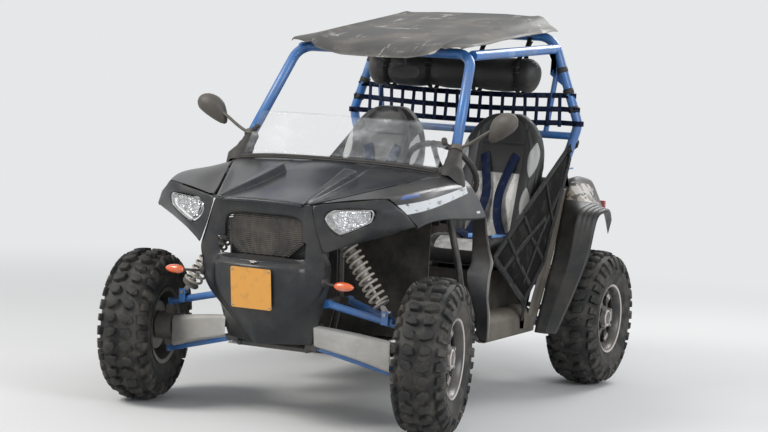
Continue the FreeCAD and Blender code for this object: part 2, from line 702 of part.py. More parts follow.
def side_rail():
    start, end = rail_ends()
    rail = rod(start, end, d.cage_radius)
    plate = slab([(end.x, end.y - 6, end.z + 4), (end.x, end.y - 130, end.z - 6),
                  (end.x, end.y - 6, end.z - 150)], (6, 0, 0))
    rail = rail.fuse(plate).removeSplitter()
    for cutter in (grown_cutter("front"), grown_cutter("rear"), HOOPS["rear"]):
        rail = rail.cut(cutter)
    return largest(rail)


def grown_cutter(which):
    """The hoop's tube, wider by the seam, to notch what meets it."""
    radius = d.cage_radius + d.seam
    if which == "front":
        foot = (d.pillar_foot_x, d.pillar_foot_y, d.pillar_foot_z)
        top = (d.pillar_top_x, d.pillar_top_y, d.pillar_top_z)
        return bent_tube([foot, top, side_point(top, -1), side_point(foot, -1)], radius, 85)
    half = [(d.hoop_foot_x, d.hoop_y, d.hoop_foot_z), (d.hoop_knee_x, d.hoop_y, d.hoop_knee_z),
            (d.hoop_top_x, d.hoop_y - 22, d.hoop_top_z)]
    return bent_tube(half + [side_point(p, -1) for p in reversed(half)], radius, 110)


feature("cage_side_rails", both_sides(side_rail()))

# Roof sheet: rows from front to rear, columns y, half width, then the edge's and the
# middle's height over the line from the pillars' bends to the rear hoop's top
ROOF_ROWS = ((-239, 452, 42, -16.4), (-165, 462, 47.3, 27.9), (150, 472, 48.3, 62.3),
             (520, 480, 44.8, 78.8), (820, 486, 41.5, 91.5), (890, 480, 31.3, 103.3))
ROOF_COLUMNS = ((-1.0, 0.0), (-0.86, 0.45), (-0.45, 0.9), (0.0, 1.0), (0.45, 0.9), (0.86, 0.45), (1.0, 0.0))


def cage_line(y):
    share = (y - d.pillar_top_y) / (d.hoop_y - d.pillar_top_y)
    return d.pillar_top_z + share * (d.hoop_top_z - d.pillar_top_z)


def roof_face(x, y):
    """Height of the sheet's face over a point."""
    for (y0, *near), (y1, *far) in zip(ROOF_ROWS, ROOF_ROWS[1:]):
        if y0 <= y <= y1:
            share = (y - y0) / (y1 - y0)
            half, edge, middle = (a + share * (b - a) for a, b in zip(near, far))
    for (out, low), (inner, high) in zip(ROOF_COLUMNS, ROOF_COLUMNS[1:4]):
        if -out * half >= x >= -inner * half:
            rise = low + (high - low) * (-out * half - x) / ((inner - out) * half)
    return cage_line(y) + edge + (middle - edge) * rise


roof_rows = [[(share * half, y, cage_line(y) + edge + (middle - edge) * rise) for share, rise in ROOF_COLUMNS]
             for y, half, edge, middle in ROOF_ROWS]
roof = skin(roof_rows, -d.roof_thickness)
# short straps carry the sheet on the side rails
start, end = rail_ends()
seat = rod(start, end, d.cage_radius + d.seam)
for share in (0.16, 0.5, 0.86):
    point = start + (end - start) * share
    x = min(point.x, 462) - 6
    strap = block((x - 4, point.y - 15, point.z),
                  (x + 4, point.y + 15, roof_face(x, point.y) - d.roof_thickness / 2))
    strap = strap.cut(seat)
    roof = roof.fuse(strap).fuse(mirrored(strap))
feature("roof_panel", [largest(roof)])


# Body panels

def hood_line(share):
    """A point of the seam between hood and fender, from the front (0) to the rear (1)."""
    return (d.hood_front_half + share * (d.hood_rear_half - d.hood_front_half),
            d.hood_front_y + share * (d.hood_rear_y - d.hood_front_y),
            d.hood_front_z + share * (d.hood_rear_z - d.hood_front_z))


# rows: share of the length, height in the middle, ridge inner x, ridge top x, ridge rise
HOOD_ROWS = ((0.0, 975, 206, 216, 0), (0.34, 1010, 176, 196, 26), (0.72, 1080, 140, 176, 26),
             (0.76, 1088, 130, 150, 0), (1.0, 1124, 130, 160, 0))
hood_rows = []
for share, middle_z, inner_x, top_x, rise in HOOD_ROWS:
    edge_x, edge_y, edge_z = hood_line(share)
    half = []
    for x, lift in ((inner_x, 0), (top_x, rise), (top_x + 8 + rise, rise * 0.2)):
        z = middle_z + (edge_z - middle_z) * x / edge_x
        half.append((x, edge_y, z + lift))
    half.append((edge_x, edge_y, edge_z))
    hood_rows.append([(-x, y, z) for x, y, z in reversed(half)] + [(0, edge_y, middle_z)] + half)
HOOD = skin(hood_rows, -d.panel_thickness)
feature("hood", [HOOD])

# Front fender, left: each row runs from the hood seam over the crease to the arch lip
FENDER_CREASE = ((532, -1131, 1011), (588, -960, 1042), (602, -757, 1052), (606, -590, 1056),
                 (602, -403, 1045))
FENDER_LIP = ((640, -1052, 895), (652, -960, 925), (656, -757, 928), (650, -560, 912),
              (646, -310, 905))
FENDER_TOP = [hood_line(share) for share in (0.0, 0.44, 0.75, 1.0)]
FENDER_TOP += [(560, -400, 1078)]
rows = []
for top, crease, lip in zip(FENDER_TOP, FENDER_CREASE, FENDER_LIP):
    shoulder = tuple(0.8 * c + 0.2 * t for c, t in zip(crease, top))
    rows.append([(top[0] + d.seam, top[1], top[2]), shoulder, crease, lip])
front_fender = skin(rows, -d.panel_thickness)
# The lamp pod: upper edge from the hood corner to the crease, lower edge down to the nose
POD_TOP = ((232, -1247, 966), (382, -1189, 988), (532, -1131, 1011))
POD_LOW = ((302, -1240, 757), (420, -1165, 815), (640, -1052, 895))
POD_MIDDLE = [tuple((a + b) / 2 for a, b in zip(top, low)) for top, low in zip(POD_TOP, POD_LOW)]
pod = skin([list(POD_TOP), POD_MIDDLE, list(POD_LOW)], d.panel_thickness)
# Mudguard behind the front wheel, columns: height, y of the inner and of the outer edge
GUARD_X = (d.cab_half + 82, d.cab_half + 166)
MUDGUARD_ROWS = ((912, -318, -335), (778, -280, -296), (681, -276, -222), (612, -316, -246),
                 (510, -262, -252), (440, -208, -220), (327, -190, -226))
mudguard = skin([[(GUARD_X[0], inner, z), (GUARD_X[1], outer, z)] for z, inner, outer in MUDGUARD_ROWS],
                d.panel_thickness)
# outline x, z of the left lens; its face leans back outwards with the pod
LAMP = ((298, 907), (330, 947), (484, 957), (478, 905), (359, 846))


def lamp_face_y(x, z):
    return -1204 + 0.33 * (x - 393) + 0.03 * (z - 913)


LENS = slab([(x, lamp_face_y(x, z), z) for x, z in LAMP], (-12, 38, 2))
feature("headlamps", both_sides(LENS))
fender = fused([front_fender, pod, mudguard])
for other in (HOOD, LENS, HOOPS["front"]):
    fender = largest(fender.cut(other))
fender = clear_of_frame(fender)
feature("front_fenders", both_sides(fender))

# Rear fender, left: rows wrap round the wheel; inboard edge, shoulder and flare edge
TAIL_LAMP_Y = d.box_rear_y - 1
LAMP_SEAT_Y = TAIL_LAMP_Y - 0.3
REAR_ROWS = (((590, 505, 292), (606, 500, 292), (650, 508, 290), (700, 530, 290)),
             ((590, 590, 450), (606, 585, 450), (665, 590, 450), (738, 612, 450)),
             ((590, 700, 640), (612, 690, 640), (690, 700, 640), (775, 735, 660)),
             ((590, 790, 880), (618, 770, 885), (700, 720, 892), (792, 780, 878)),
             ((d.box_half + 1, 905, 1019), (610, 900, 1058), (706, 905, 925), (806, 905, 892)),
             ((d.box_half + 1, 1050, 1019), (612, 1050, 1046), (680, 1060, 915), (760, 1070, 862)),
             ((d.box_half + 1, 1230, 1019), (604, 1200, 1020), (650, 1210, 905), (705, 1230, 800)),
             ((d.box_half + 1, 1322, 960), (600, LAMP_SEAT_Y, 930), (640, LAMP_SEAT_Y, 860), (665, 1318, 740)))
rear_fender = skin([list(row) for row in REAR_ROWS], -d.panel_thickness)


# Sill tubes: an outer one up to the rear hoop's foot and a thinner one inside it
def sill_tubes():
    foot_z = d.hoop_foot_z - 8 - d.seam
    outer = rod((SILL_TUBE_X, 516, d.rail_z), (SILL_TUBE_X, d.hoop_y, foot_z + 20), d.frame_radius)
    knee = (SILL_TUBE_X - 27, 790, foot_z - 50)
    inner = rod((SILL_TUBE_X - 50, 500, d.rail_z), knee, 13)
    tie = rod(knee, (SILL_TUBE_X, 830, foot_z - 50), 13)
    body = fused([outer, inner, tie])
    body = body.cut(block((400, 700, foot_z), (700, 1000, foot_z + 80)))
    return clear_of_frame(body)


SILL_TUBES = sill_tubes()
feature("sill_tubes", both_sides(SILL_TUBES))
rear_fender = largest(rear_fender.cut(SILL_TUBES))
box_zone = block((-d.box_half - d.seam, d.box_front_y - d.seam, d.box_floor_z),
                 (d.box_half + d.seam, d.box_rear_y + d.seam, d.box_floor_z + d.box_depth + d.seam))
rear_fender = largest(rear_fender.cut(box_zone))
feature("rear_fenders", both_sides(rear_fender))

# Nose: header over the grille, cheeks beside it and the V-shaped lower fascia
# columns: height, middle y, then x and y of the grille edge, the cheek and the rear edge
NOSE_ROWS = ((960.2, -1240, 190, -1240, 228, -1243, 226, -1222),
             (900, -1226, 190, -1228, 240, -1244, 238, -1222),
             (757, -1226, 190, -1226, 298, -1238, 296, -1206),
             (722, -1226, 190, -1226, 300, -1228, 302, -1160),
             (690, -1312, 200, -1266, 298, -1216, 298, -1150),
             (624, -1303, 205, -1262, 298, -1212, 290, -1140),
             (559, -1294, 190, -1256, 262, -1208, 266, -1130),
             (507, -1287, 150, -1250, 192, -1218, 256, -1125),
             (448, -1272, 96, -1242, 122, -1224, 240, -1118),
             (352, -1236, 42, -1215, 52, -1208, 216, -1110))
# the grille shows through an opening whose lower corners are cut off: x on one side, z
OPENING = ((188, 900), (184, 794), (109, 728))
nose_rows = []
for z, middle_y, *pairs in NOSE_ROWS:
    half = [(pairs[i], pairs[i + 1], z) for i in (0, 2, 4)]
    nose_rows.append([(-x, y, z) for x, y, z in reversed(half)] + [(0, middle_y, z)] + half)
NOSE = skin(nose_rows, -d.panel_thickness)
opening = [(x, -1300, z) for x, z in OPENING] + [(-x, -1300, z) for x, z in reversed(OPENING)]
NOSE = NOSE.cut(slab(opening, (0, 110, 0)))
NOSE = largest(NOSE.cut(fender).cut(mirrored(fender)))
feature("nose_fascia", [NOSE])

# Cab floor tub with sills, toe board and rear wall
w = d.cab_wall
tub = fused([
    block((-d.cab_half, d.cab_front_y, d.floor_z), (d.cab_half, d.cab_rear_y, d.floor_z + w)),
    block((-d.cab_half, d.cab_front_y, d.floor_z), (d.cab_half, d.cab_front_y + w, 1000)),
    block((-d.cab_half, d.cab_rear_y - w, d.floor_z), (d.cab_half, d.cab_rear_y, 820)),
] + [block((s * d.cab_half - (w if s > 0 else 0), d.cab_front_y, d.floor_z),
           (s * d.cab_half + (0 if s > 0 else w), d.cab_rear_y, d.floor_z + d.sill_height)) for s in SIDES]
    + [block((-80, d.cab_front_y, d.floor_z), (80, 120, d.floor_z + 170)),
       block((-d.cab_half, 110, d.floor_z), (d.cab_half, 560, 610))])
feature("cab_floor", [tub])

# Rocker panels outside the tub, under the sill tubes' upper run
root_x, bend_x, low, high = d.cab_half + d.seam, ROCKER_HALF - 42, d.floor_z, d.floor_z + d.sill_height
rocker = [(root_x, low - 12), (bend_x, low - 46), (ROCKER_HALF, low - 40),
          (ROCKER_HALF, low + 40), (bend_x, high), (root_x, high)]
rocker_inner = [(root_x, low - 6), (bend_x - 3, low - 39), (ROCKER_HALF - 6, low - 33),
                (ROCKER_HALF - 6, low + 36), (bend_x - 5, high - 6), (root_x, high - 6)]
rocker_panel = slab([(x, -120, z) for x, z in rocker], (0, 600, 0)).cut(
    slab([(x, -120, z) for x, z in rocker_inner], (0, 600, 0)))
feature("rocker_panels", both_sides(rocker_panel))

# Dashboard with the column's bracket
dash_front = d.cowl_y + 1.05 * d.frame_radius
dash = slab([(-500, dash_front, 1080), (-500, -470, 1112), (-500, -330, 1120), (-500, -270, 1070),
             (-500, -300, 930), (-500, -400, 860), (-500, dash_front, 860)], (1000, 0, 0))
tilt = math.radians(d.column_tilt)
column_axis = Vector(0, math.cos(tilt), math.sin(tilt))
hub = Vector(d.steering_wheel_x, d.steering_wheel_y, d.steering_wheel_z)
column = Part.makeCylinder(28, 150, hub - column_axis * 290, column_axis)
dash = dash.fuse(column).removeSplitter().cut(Part.makeCylinder(9, 200, hub - column_axis * 300, column_axis))
feature("dashboard", [dash])

# Steering wheel: rim, three spokes, hub and shaft, turned about the column
rim_ring = Part.makeTorus(d.steering_wheel_radius, 14, Vector(0, 0, 0), Vector(0, 0, 1))
spokes = []
for angle in (90, 210, 330):
    spoke = block((20, -14, -8), (d.steering_wheel_radius - 6, 14, 4))
    spoke.rotate(Vector(0, 0, 0), Vector(0, 0, 1), angle)
    spokes.append(spoke)
wheel = fused([rim_ring, Part.makeCylinder(34, 34, Vector(0, 0, -26)),
               Part.makeCylinder(8.5, 180, Vector(0, 0, -200))] + spokes)
feature("steering_wheel", [wheel], Placement(hub, Rotation(Vector(0, 0, 1), column_axis)))

# Tie rods and rack: one sliding piece under the knuckles' steering arms
steer = math.radians(d.steer_angle)
shift = -d.steer_arm_reach * math.sin(steer)
rod_y = FRONT_Y + d.steer_arm_reach * math.cos(steer)
ball_x = d.front_half_track - d.kingpin_inset
rod_z = AXLE_Z + d.steer_arm_rise - 11
pieces = [rod((-ball_x + shift, rod_y, rod_z), (ball_x + shift, rod_y, rod_z), 7),
          rod((-150 + shift, rod_y, rod_z), (150 + shift, rod_y, rod_z), d.rack_radius)]
for s in SIDES:
    pieces.append(Part.makeCylinder(12, 14, Vector(s * ball_x + shift, rod_y, rod_z - 7)))
feature("tie_rods", [fused(pieces)])

# Seats: a bucket with bolsters, as one plain closed form each
SEAT_SIDE = ((95, 610.4), (70, 700), (95, 752), (160, 768), (440, 715), (560, 980), (640, 1250),
             (655, 1340), (690, d.seat_top_z), (725, 1350), (722, 1200), (640, 940), (560, 700),
             (545, 610.4))
SEAT_HOLLOW = ((150, 800), (160, 745), (455, 690), (590, 1000), (640, 1180), (600, 1260),
               (400, 1000), (300, 850))
seats = []
for s in SIDES:
    left = s * d.seat_x - d.seat_width / 2
    seat = slab([(left, y, z) for y, z in SEAT_SIDE], (d.seat_width, 0, 0))
    hollow = slab([(left + 80, y, z) for y, z in SEAT_HOLLOW], (d.seat_width - 160, 0, 0))
    seats.append(seat.cut(hollow))
feature("seats", seats)

# Cargo box, open at the top
box = DOC.addObject("Part::Box", "cargo_outer")
box.setExpression("Length", "2 * sizes.box_half")
box.setExpression("Width", "sizes.box_rear_y - sizes.box_front_y")
box.setExpression("Height", "sizes.box_depth")
box.setExpression("Placement.Base.x", "-sizes.box_half")
box.setExpression("Placement.Base.y", "sizes.box_front_y")
box.setExpression("Placement.Base.z", "sizes.box_floor_z")
room = DOC.addObject("Part::Box", "cargo_room")
room.setExpression("Length", "2 * (sizes.box_half - sizes.box_wall)")
room.setExpression("Width", "sizes.box_rear_y - sizes.box_front_y - 2 * sizes.box_wall")
room.setExpression("Height", "sizes.box_depth")
room.setExpression("Placement.Base.x", "sizes.box_wall - sizes.box_half")
room.setExpression("Placement.Base.y", "sizes.box_front_y + sizes.box_wall")
room.setExpression("Placement.Base.z", "sizes.box_floor_z + sizes.box_wall")
cargo = DOC.addObject("Part::Cut", "cargo_box")
cargo.Base, cargo.Tool = box, room
keep(cargo, "cargo_box")

# Rear bumper with the hitch plate
def rear_bumper():
    start_y, end_y = REAR_Y + d.arm_pivot_spread, d.bumper_reach - 18
    half = [(200, start_y, 535), (300, 0.5 * (start_y + end_y), 560), (300, end_y, 560)]
    hoop = bent_tube([(-x, y, z) for x, y, z in half] + list(reversed(half)), 18, 60)
    stays = [rod((s * d.rail_x, d.rail_end_y + 2, d.rail_z), (s * d.rail_x, end_y, 560), 14)
             for s in SIDES]
    body = largest(clear_of_frame(fused([hoop] + stays)).cut(fused(arms[-4:])))
    plate = block((-70, d.rail_end_y - 60, 292), (70, d.rail_end_y + 110, 292 + d.hitch_plate_thickness))
    lift = block((-70, d.rail_end_y - 60, 292), (70, d.rail_end_y - 20, skid_top - 5 - d.seam))
    plate = fused([plate, lift])
    plate = plate.cut(Part.makeCylinder(d.hitch_bore_radius, 40, Vector(0, d.rail_end_y + 70, 280)))
    return [body, plate]


feature("rear_bumper", rear_bumper())

# Grille: a frame with slats and bars; radiator behind it
GRILLE_Y = -1225.6
bars = [block((-d.grille_half, GRILLE_Y, z), (d.grille_half, GRILLE_Y + 8, z + 6))
        for z in [d.grille_low_z + step * (d.grille_high_z - d.grille_low_z - 6) / 9 for step in range(10)]]
bars += [block((x - 3, GRILLE_Y, d.grille_low_z), (x + 3, GRILLE_Y + 8, d.grille_high_z))
         for x in [-d.grille_half + 3 + step * (2 * d.grille_half - 6) / 8 for step in range(9)]]
feature("grille", [fused(bars)])
radiator = DOC.addObject("Part::Box", "radiator")
radiator.Length, radiator.Width, radiator.Height = 360, 34, 270
radiator.Placement = Placement(Vector(-180, -1168, 636 + d.seam), Rotation())
keep(radiator, "radiator")

# Indicators, tail lamps and the blank plate
indicator = fused([rod((250, -1172, 637), (368, -1250, 637), 5), Part.makeSphere(17, Vector(370, -1251, 637)),
                   rod((370, -1251, 637), (446, -1255, 637), 17, 11)])
indicator = largest(indicator.cut(NOSE).cut(mirrored(NOSE)))
feature("indicators", both_sides(indicator))
lamp_x, lamp_y = d.box_half + 70, TAIL_LAMP_Y
feature("tail_lamps", both_sides(block((lamp_x, lamp_y, 860), (lamp_x + 60, lamp_y + 15, 915))))
plate = slab([(-97, -1316.6, 684), (97, -1316.6, 684), (97, -1293.2, 510), (-97, -1293.2, 510)],
             (0, -1.6, 0))
feature("number_plate", [plate])

# Arm guards in front of the lower arms
GUARD_ROWS = (((215, -1118, 447), (400, -1062, 424), (540, -1030, 402)),
              ((215, -1132, 437), (400, -1080, 412), (540, -1042, 386)),
              ((215, -1128, 358), (400, -1076, 312), (540, -1038, 268)),
              ((215, -1090, 346), (400, -1042, 300), (540, -1014, 258)))
guard = skin([list(row) for row in GUARD_ROWS], d.panel_thickness)
guard = guard.cut(block((0, -1300, 100), (256, -900, 600)))
for x, panel_y in ((330, -1095), (480, -1054)):
    share = (x - d.lower_pivot_x) / (ball_x - d.lower_pivot_x)
    leg = (x, FRONT_Y - d.arm_pivot_spread * (1 - share),
           d.lower_pivot_z + share * (AXLE_Z - d.lower_ball_drop - d.lower_pivot_z))
    guard = guard.fuse(rod(leg, (leg[0], panel_y, leg[2] + 4), 8))
lower_front_arms = fused(arms[2:4]) if len(arms) > 3 else arms[2]
guard = largest(guard.cut(lower_front_arms))
feature("arm_guards", both_sides(guard))

# Mirrors on stalks from the pillars
# outline x, z of the head
MIRROR = ((682, 1302), (694, 1278), (800, 1274), (822, 1300), (816, 1352), (790, 1376), (716, 1378),
          (690, 1352))
mirror = fused([rod((526, -440, 1205), (600, -432, 1236), 6), rod((600, -432, 1236), (700, -430, 1306), 6),
                slab([(x, -452, z) for x, z in MIRROR], (0, 44, 0))])
mirror = largest(mirror.cut(HOOPS["front"]))
feature("mirrors", both_sides(mirror))

# Soft goods: roll bag, rear net, side nets
bag_y, bag_z, strap_y, strap_z = d.hoop_y - 130, d.hoop_top_z - 180, d.hoop_y - 18, d.hoop_top_z - 18
bag = rod((-495, bag_y, bag_z), (470, bag_y, bag_z), 86)
straps = [slab([(x - 12, bag_y + 15, bag_z + 70), (x - 12, bag_y + 30, bag_z + 70), (x - 12, strap_y, strap_z),
                (x - 12, strap_y - 14, strap_z)], (24, 0, 0)) for x in (-360, -120, 120, 360)]
feature("roll_bag", [largest(fused([bag] + straps).cut(HOOPS["rear"]))])
net_y = d.hoop_y - 14 - d.seam
net_gap = d.hoop_top_z - d.cross_bar_z
net_z = [d.cross_bar_z + share * net_gap for share in (0.118, 0.26, 0.402)]
net_half = hoop_x_at(net_z[-1]) - d.cage_radius - 9
net_bars = [block((-net_half, net_y - 4, z - 12), (net_half, net_y, z + 12)) for z in net_z]
net_bars += [block((x - 12, net_y - 4, net_z[0] - 12), (x + 12, net_y, net_z[-1] + 12))
             for x in [(net_half - 12) * step / 4 for step in range(-4, 5)]]
feature("rear_net", [fused(net_bars)])
net_x = ROCKER_HALF + d.seam
side_net = slab([(net_x, -100, 700), (net_x, 800, 1200), (net_x, 840, 1150), (net_x, 560, 640),
                 (net_x, 330, 480), (net_x, 330, 330), (net_x, 285, 330), (net_x, 285, 480)], (4, 0, 0))
side_net = largest(side_net.cut(HOOPS["rear"]))
feature("side_nets", both_sides(side_net))

DOC.recompute()

for obj in DOC.Objects:
    if "Invalid" in obj.State or "Error" in obj.State:
        raise RuntimeError(f"{obj.Name} failed: {obj.State}")
for obj in PARTS:
    if obj.Shape.isNull() or not obj.Shape.isValid() or obj.Shape.Volume <= 0:
        raise RuntimeError(f"{obj.Label} has no valid shape")
os.makedirs("parts", exist_ok=True)
for obj in PARTS:
    obj.Shape.exportStep(f"parts/{obj.Label}.step")
print(len(PARTS), "sub-parts,", sum(len(obj.Shape.Solids) for obj in PARTS), "solids")
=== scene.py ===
# %% [markdown]
# # A side by side utility vehicle
# An open two seat off-road vehicle stands on a pale floor. The measured frame comes from
# CAD and never changes here. Each piece is either the frame's own mesh with a better
# finish, or a more detailed mesh that stands where the frame's piece is.

# %% Load the measured frame
import math
import bpy
import bmesh
from mathutils import Matrix, Vector


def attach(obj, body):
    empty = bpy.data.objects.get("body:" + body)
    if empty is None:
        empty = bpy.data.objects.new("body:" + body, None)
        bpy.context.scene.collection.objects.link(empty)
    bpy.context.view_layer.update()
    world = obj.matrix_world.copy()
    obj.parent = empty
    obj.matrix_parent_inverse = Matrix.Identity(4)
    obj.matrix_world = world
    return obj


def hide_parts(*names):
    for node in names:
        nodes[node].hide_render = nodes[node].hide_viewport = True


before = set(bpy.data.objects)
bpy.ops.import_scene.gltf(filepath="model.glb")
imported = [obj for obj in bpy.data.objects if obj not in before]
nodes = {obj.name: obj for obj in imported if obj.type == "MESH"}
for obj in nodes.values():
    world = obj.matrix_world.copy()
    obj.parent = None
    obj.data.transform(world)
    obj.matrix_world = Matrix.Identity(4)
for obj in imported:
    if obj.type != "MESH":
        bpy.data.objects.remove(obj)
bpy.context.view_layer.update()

SIDES = (1, -1)

# %% [markdown]
# ## Floor, light and camera
# The vehicle was photographed outdoors under a soft sky. Here a pale floor and three
# large soft lamps give an even light, so that the colours look as they are written. The
# camera stands where the photograph was taken, with a long lens.

# %% Stage
def plain_material(name, color, roughness=0.9):
    """A material of one colour for the floor."""
    material = bpy.data.materials.new(name)
    material.use_nodes = True
    shader = material.node_tree.nodes["Principled BSDF"]
    shader.inputs["Base Color"].default_value = (*color, 1)
    shader.inputs["Roughness"].default_value = roughness
    return material


def mesh_piece(name, form, materials, smooth=True, sharp=0):
    """Turns a bmesh into an object at the origin; edges over sharp degrees stay crisp."""
    mesh = bpy.data.meshes.new(name)
    form.to_mesh(mesh)
    form.free()
    piece = bpy.data.objects.new(name, mesh)
    bpy.context.scene.collection.objects.link(piece)
    for material in materials:
        mesh.materials.append(material)
    if smooth:
        mesh.shade_smooth()
    if sharp:
        mesh.set_sharp_from_angle(angle=math.radians(sharp))
    return piece


def stands_for(piece, body, slot, *cad_nodes):
    """Says which body a piece rides on, and the measured nodes it stands for; the slot is not
    used.
    """
    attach(piece, body)
    if cad_nodes:
        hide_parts(*cad_nodes)
    return piece


def chassis_piece(name, form, materials, slot, *cad_nodes, **how):
    """A piece that stays with the chassis."""
    return stands_for(mesh_piece(name, form, materials, **how), "chassis", slot, *cad_nodes)


form = bmesh.new()
bmesh.ops.create_grid(form, x_segments=1, y_segments=1, size=40)
floor_material = plain_material("pale_floor", (0.70, 0.70, 0.69))
floor = mesh_piece("studio_floor", form, [floor_material])

world = bpy.data.worlds.new("soft_sky")
world.use_nodes = True
sky = world.node_tree.nodes["Background"]
sky.inputs["Color"].default_value = (0.86, 0.9, 0.95, 1)
sky.inputs["Strength"].default_value = 0.5
bpy.context.scene.world = world
bpy.context.scene.view_settings.view_transform = "Standard"

# Far off, the floor and the sky take the same pale colour, so no horizon shows.
HAZE = (0.79, 0.80, 0.81, 1)


def seen_rays(tree):
    """1 for the rays that show a surface: straight, mirrored or through glass."""
    path = tree.nodes.new("ShaderNodeLightPath")
    total = path.outputs["Is Camera Ray"]
    for name in ("Is Glossy Ray", "Is Transmission Ray"):
        joined = tree.nodes.new("ShaderNodeMath")
        joined.operation = "MAXIMUM"
        tree.links.new(total, joined.inputs[0])
        tree.links.new(path.outputs[name], joined.inputs[1])
        total = joined.outputs[0]
    return total


def haze_over(tree, kind, surface, output, factor):
    """Mixes the haze colour over a surface or sky by a factor."""
    haze = tree.nodes.new(kind)
    haze.inputs["Color"].default_value = HAZE
    haze.inputs["Strength"].default_value = 1.0
    mixed = tree.nodes.new("ShaderNodeMixShader")
    tree.links.new(factor, mixed.inputs[0])
    tree.links.new(surface.outputs[0], mixed.inputs[1])
    tree.links.new(haze.outputs[0], mixed.inputs[2])
    tree.links.new(mixed.outputs[0], output.inputs["Surface"])


tree = world.node_tree
haze_over(tree, "ShaderNodeBackground", sky, tree.nodes["World Output"], seen_rays(tree))
tree = floor_material.node_tree
spot = tree.nodes.new("ShaderNodeTexCoord")
reach = tree.nodes.new("ShaderNodeVectorMath")
reach.operation = "LENGTH"
tree.links.new(spot.outputs["Object"], reach.inputs[0])
fade = tree.nodes.new("ShaderNodeMapRange")
fade.interpolation_type = "SMOOTHSTEP"
fade.inputs["From Min"].default_value, fade.inputs["From Max"].default_value = 2.4, 7.0
tree.links.new(reach.outputs["Value"], fade.inputs["Value"])
faded = tree.nodes.new("ShaderNodeMath")
faded.operation = "MULTIPLY"
tree.links.new(fade.outputs[0], faded.inputs[0])
tree.links.new(seen_rays(tree), faded.inputs[1])
haze_over(tree, "ShaderNodeEmission", tree.nodes["Principled BSDF"],
          tree.nodes["Material Output"], faded.outputs[0])


def soft_lamp(name, place, target, width, watts, color=(1, 1, 1)):
    lamp = bpy.data.lights.new(name, "AREA")
    lamp.shape, lamp.size, lamp.energy, lamp.color = "DISK", width, watts, color
    holder = bpy.data.objects.new(name, lamp)
    bpy.context.scene.collection.objects.link(holder)
    holder.location = place
    holder.rotation_mode = "QUATERNION"
    holder.rotation_quaternion = (Vector(target) - Vector(place)).to_track_quat("-Z", "Y")


soft_lamp("key", (-3.5, -4.5, 5.0), (0, 0, 0.8), 3.0, 330, (1, 0.98, 0.95))
soft_lamp("fill", (5.5, -2.5, 3.0), (0, 0, 0.7), 3.5, 170, (0.95, 0.97, 1))
soft_lamp("rear", (1.5, 5.0, 4.5), (0, 0, 0.9), 3.0, 190)

# %% Camera at the photograph's viewing angle
CAMERA_PLACE = (4.079934, -8.652258, 1.573774)
CAMERA_TURN = (25.344036, 4.378542, 3.177611)  # degrees: azimuth, elevation, roll
azimuth, elevation, roll = (math.radians(a) for a in CAMERA_TURN)
back = Vector((math.sin(azimuth) * math.cos(elevation),
               -math.cos(azimuth) * math.cos(elevation), math.sin(elevation)))
right = Vector((math.cos(azimuth), math.sin(azimuth), 0))
up = back.cross(right)
turned_right = right * math.cos(roll) + up * math.sin(roll)
turned_up = up * math.cos(roll) - right * math.sin(roll)
camera_data = bpy.data.cameras.new("photo_camera")
camera_data.lens, camera_data.sensor_width = 93.75, 36
camera = bpy.data.objects.new("photo_camera", camera_data)
bpy.context.scene.collection.objects.link(camera)
camera.matrix_world = (Matrix.Translation(CAMERA_PLACE)
                       @ Matrix((turned_right, turned_up, back)).transposed().to_4x4())
bpy.context.scene.camera = camera

# %% [markdown]
# ## Finishes
# A finish is more than a colour: paint has scuffs, plastic has a dust film and rubber
# greys where it is touched. Node trees are long to write link by link, so a small class
# lets shader maths be written as plain sums.

# %% Shader maths as expressions
class Shade:
    """A value that varies over a surface."""

    def __init__(self, finish, socket):
        self.finish, self.socket = finish, socket

    def _math(self, operation, first, second):
        return self.finish.add("ShaderNodeMath", {"operation": operation}, {0: first, 1: second})

    def __add__(self, other): return self._math("ADD", self, other)
    def __radd__(self, other): return self._math("ADD", other, self)
    def __sub__(self, other): return self._math("SUBTRACT", self, other)
    def __rsub__(self, other): return self._math("SUBTRACT", other, self)
    def __mul__(self, other): return self._math("MULTIPLY", self, other)
    def __rmul__(self, other): return self._math("MULTIPLY", other, self)
    def __pow__(self, other): return self._math("POWER", self, other)


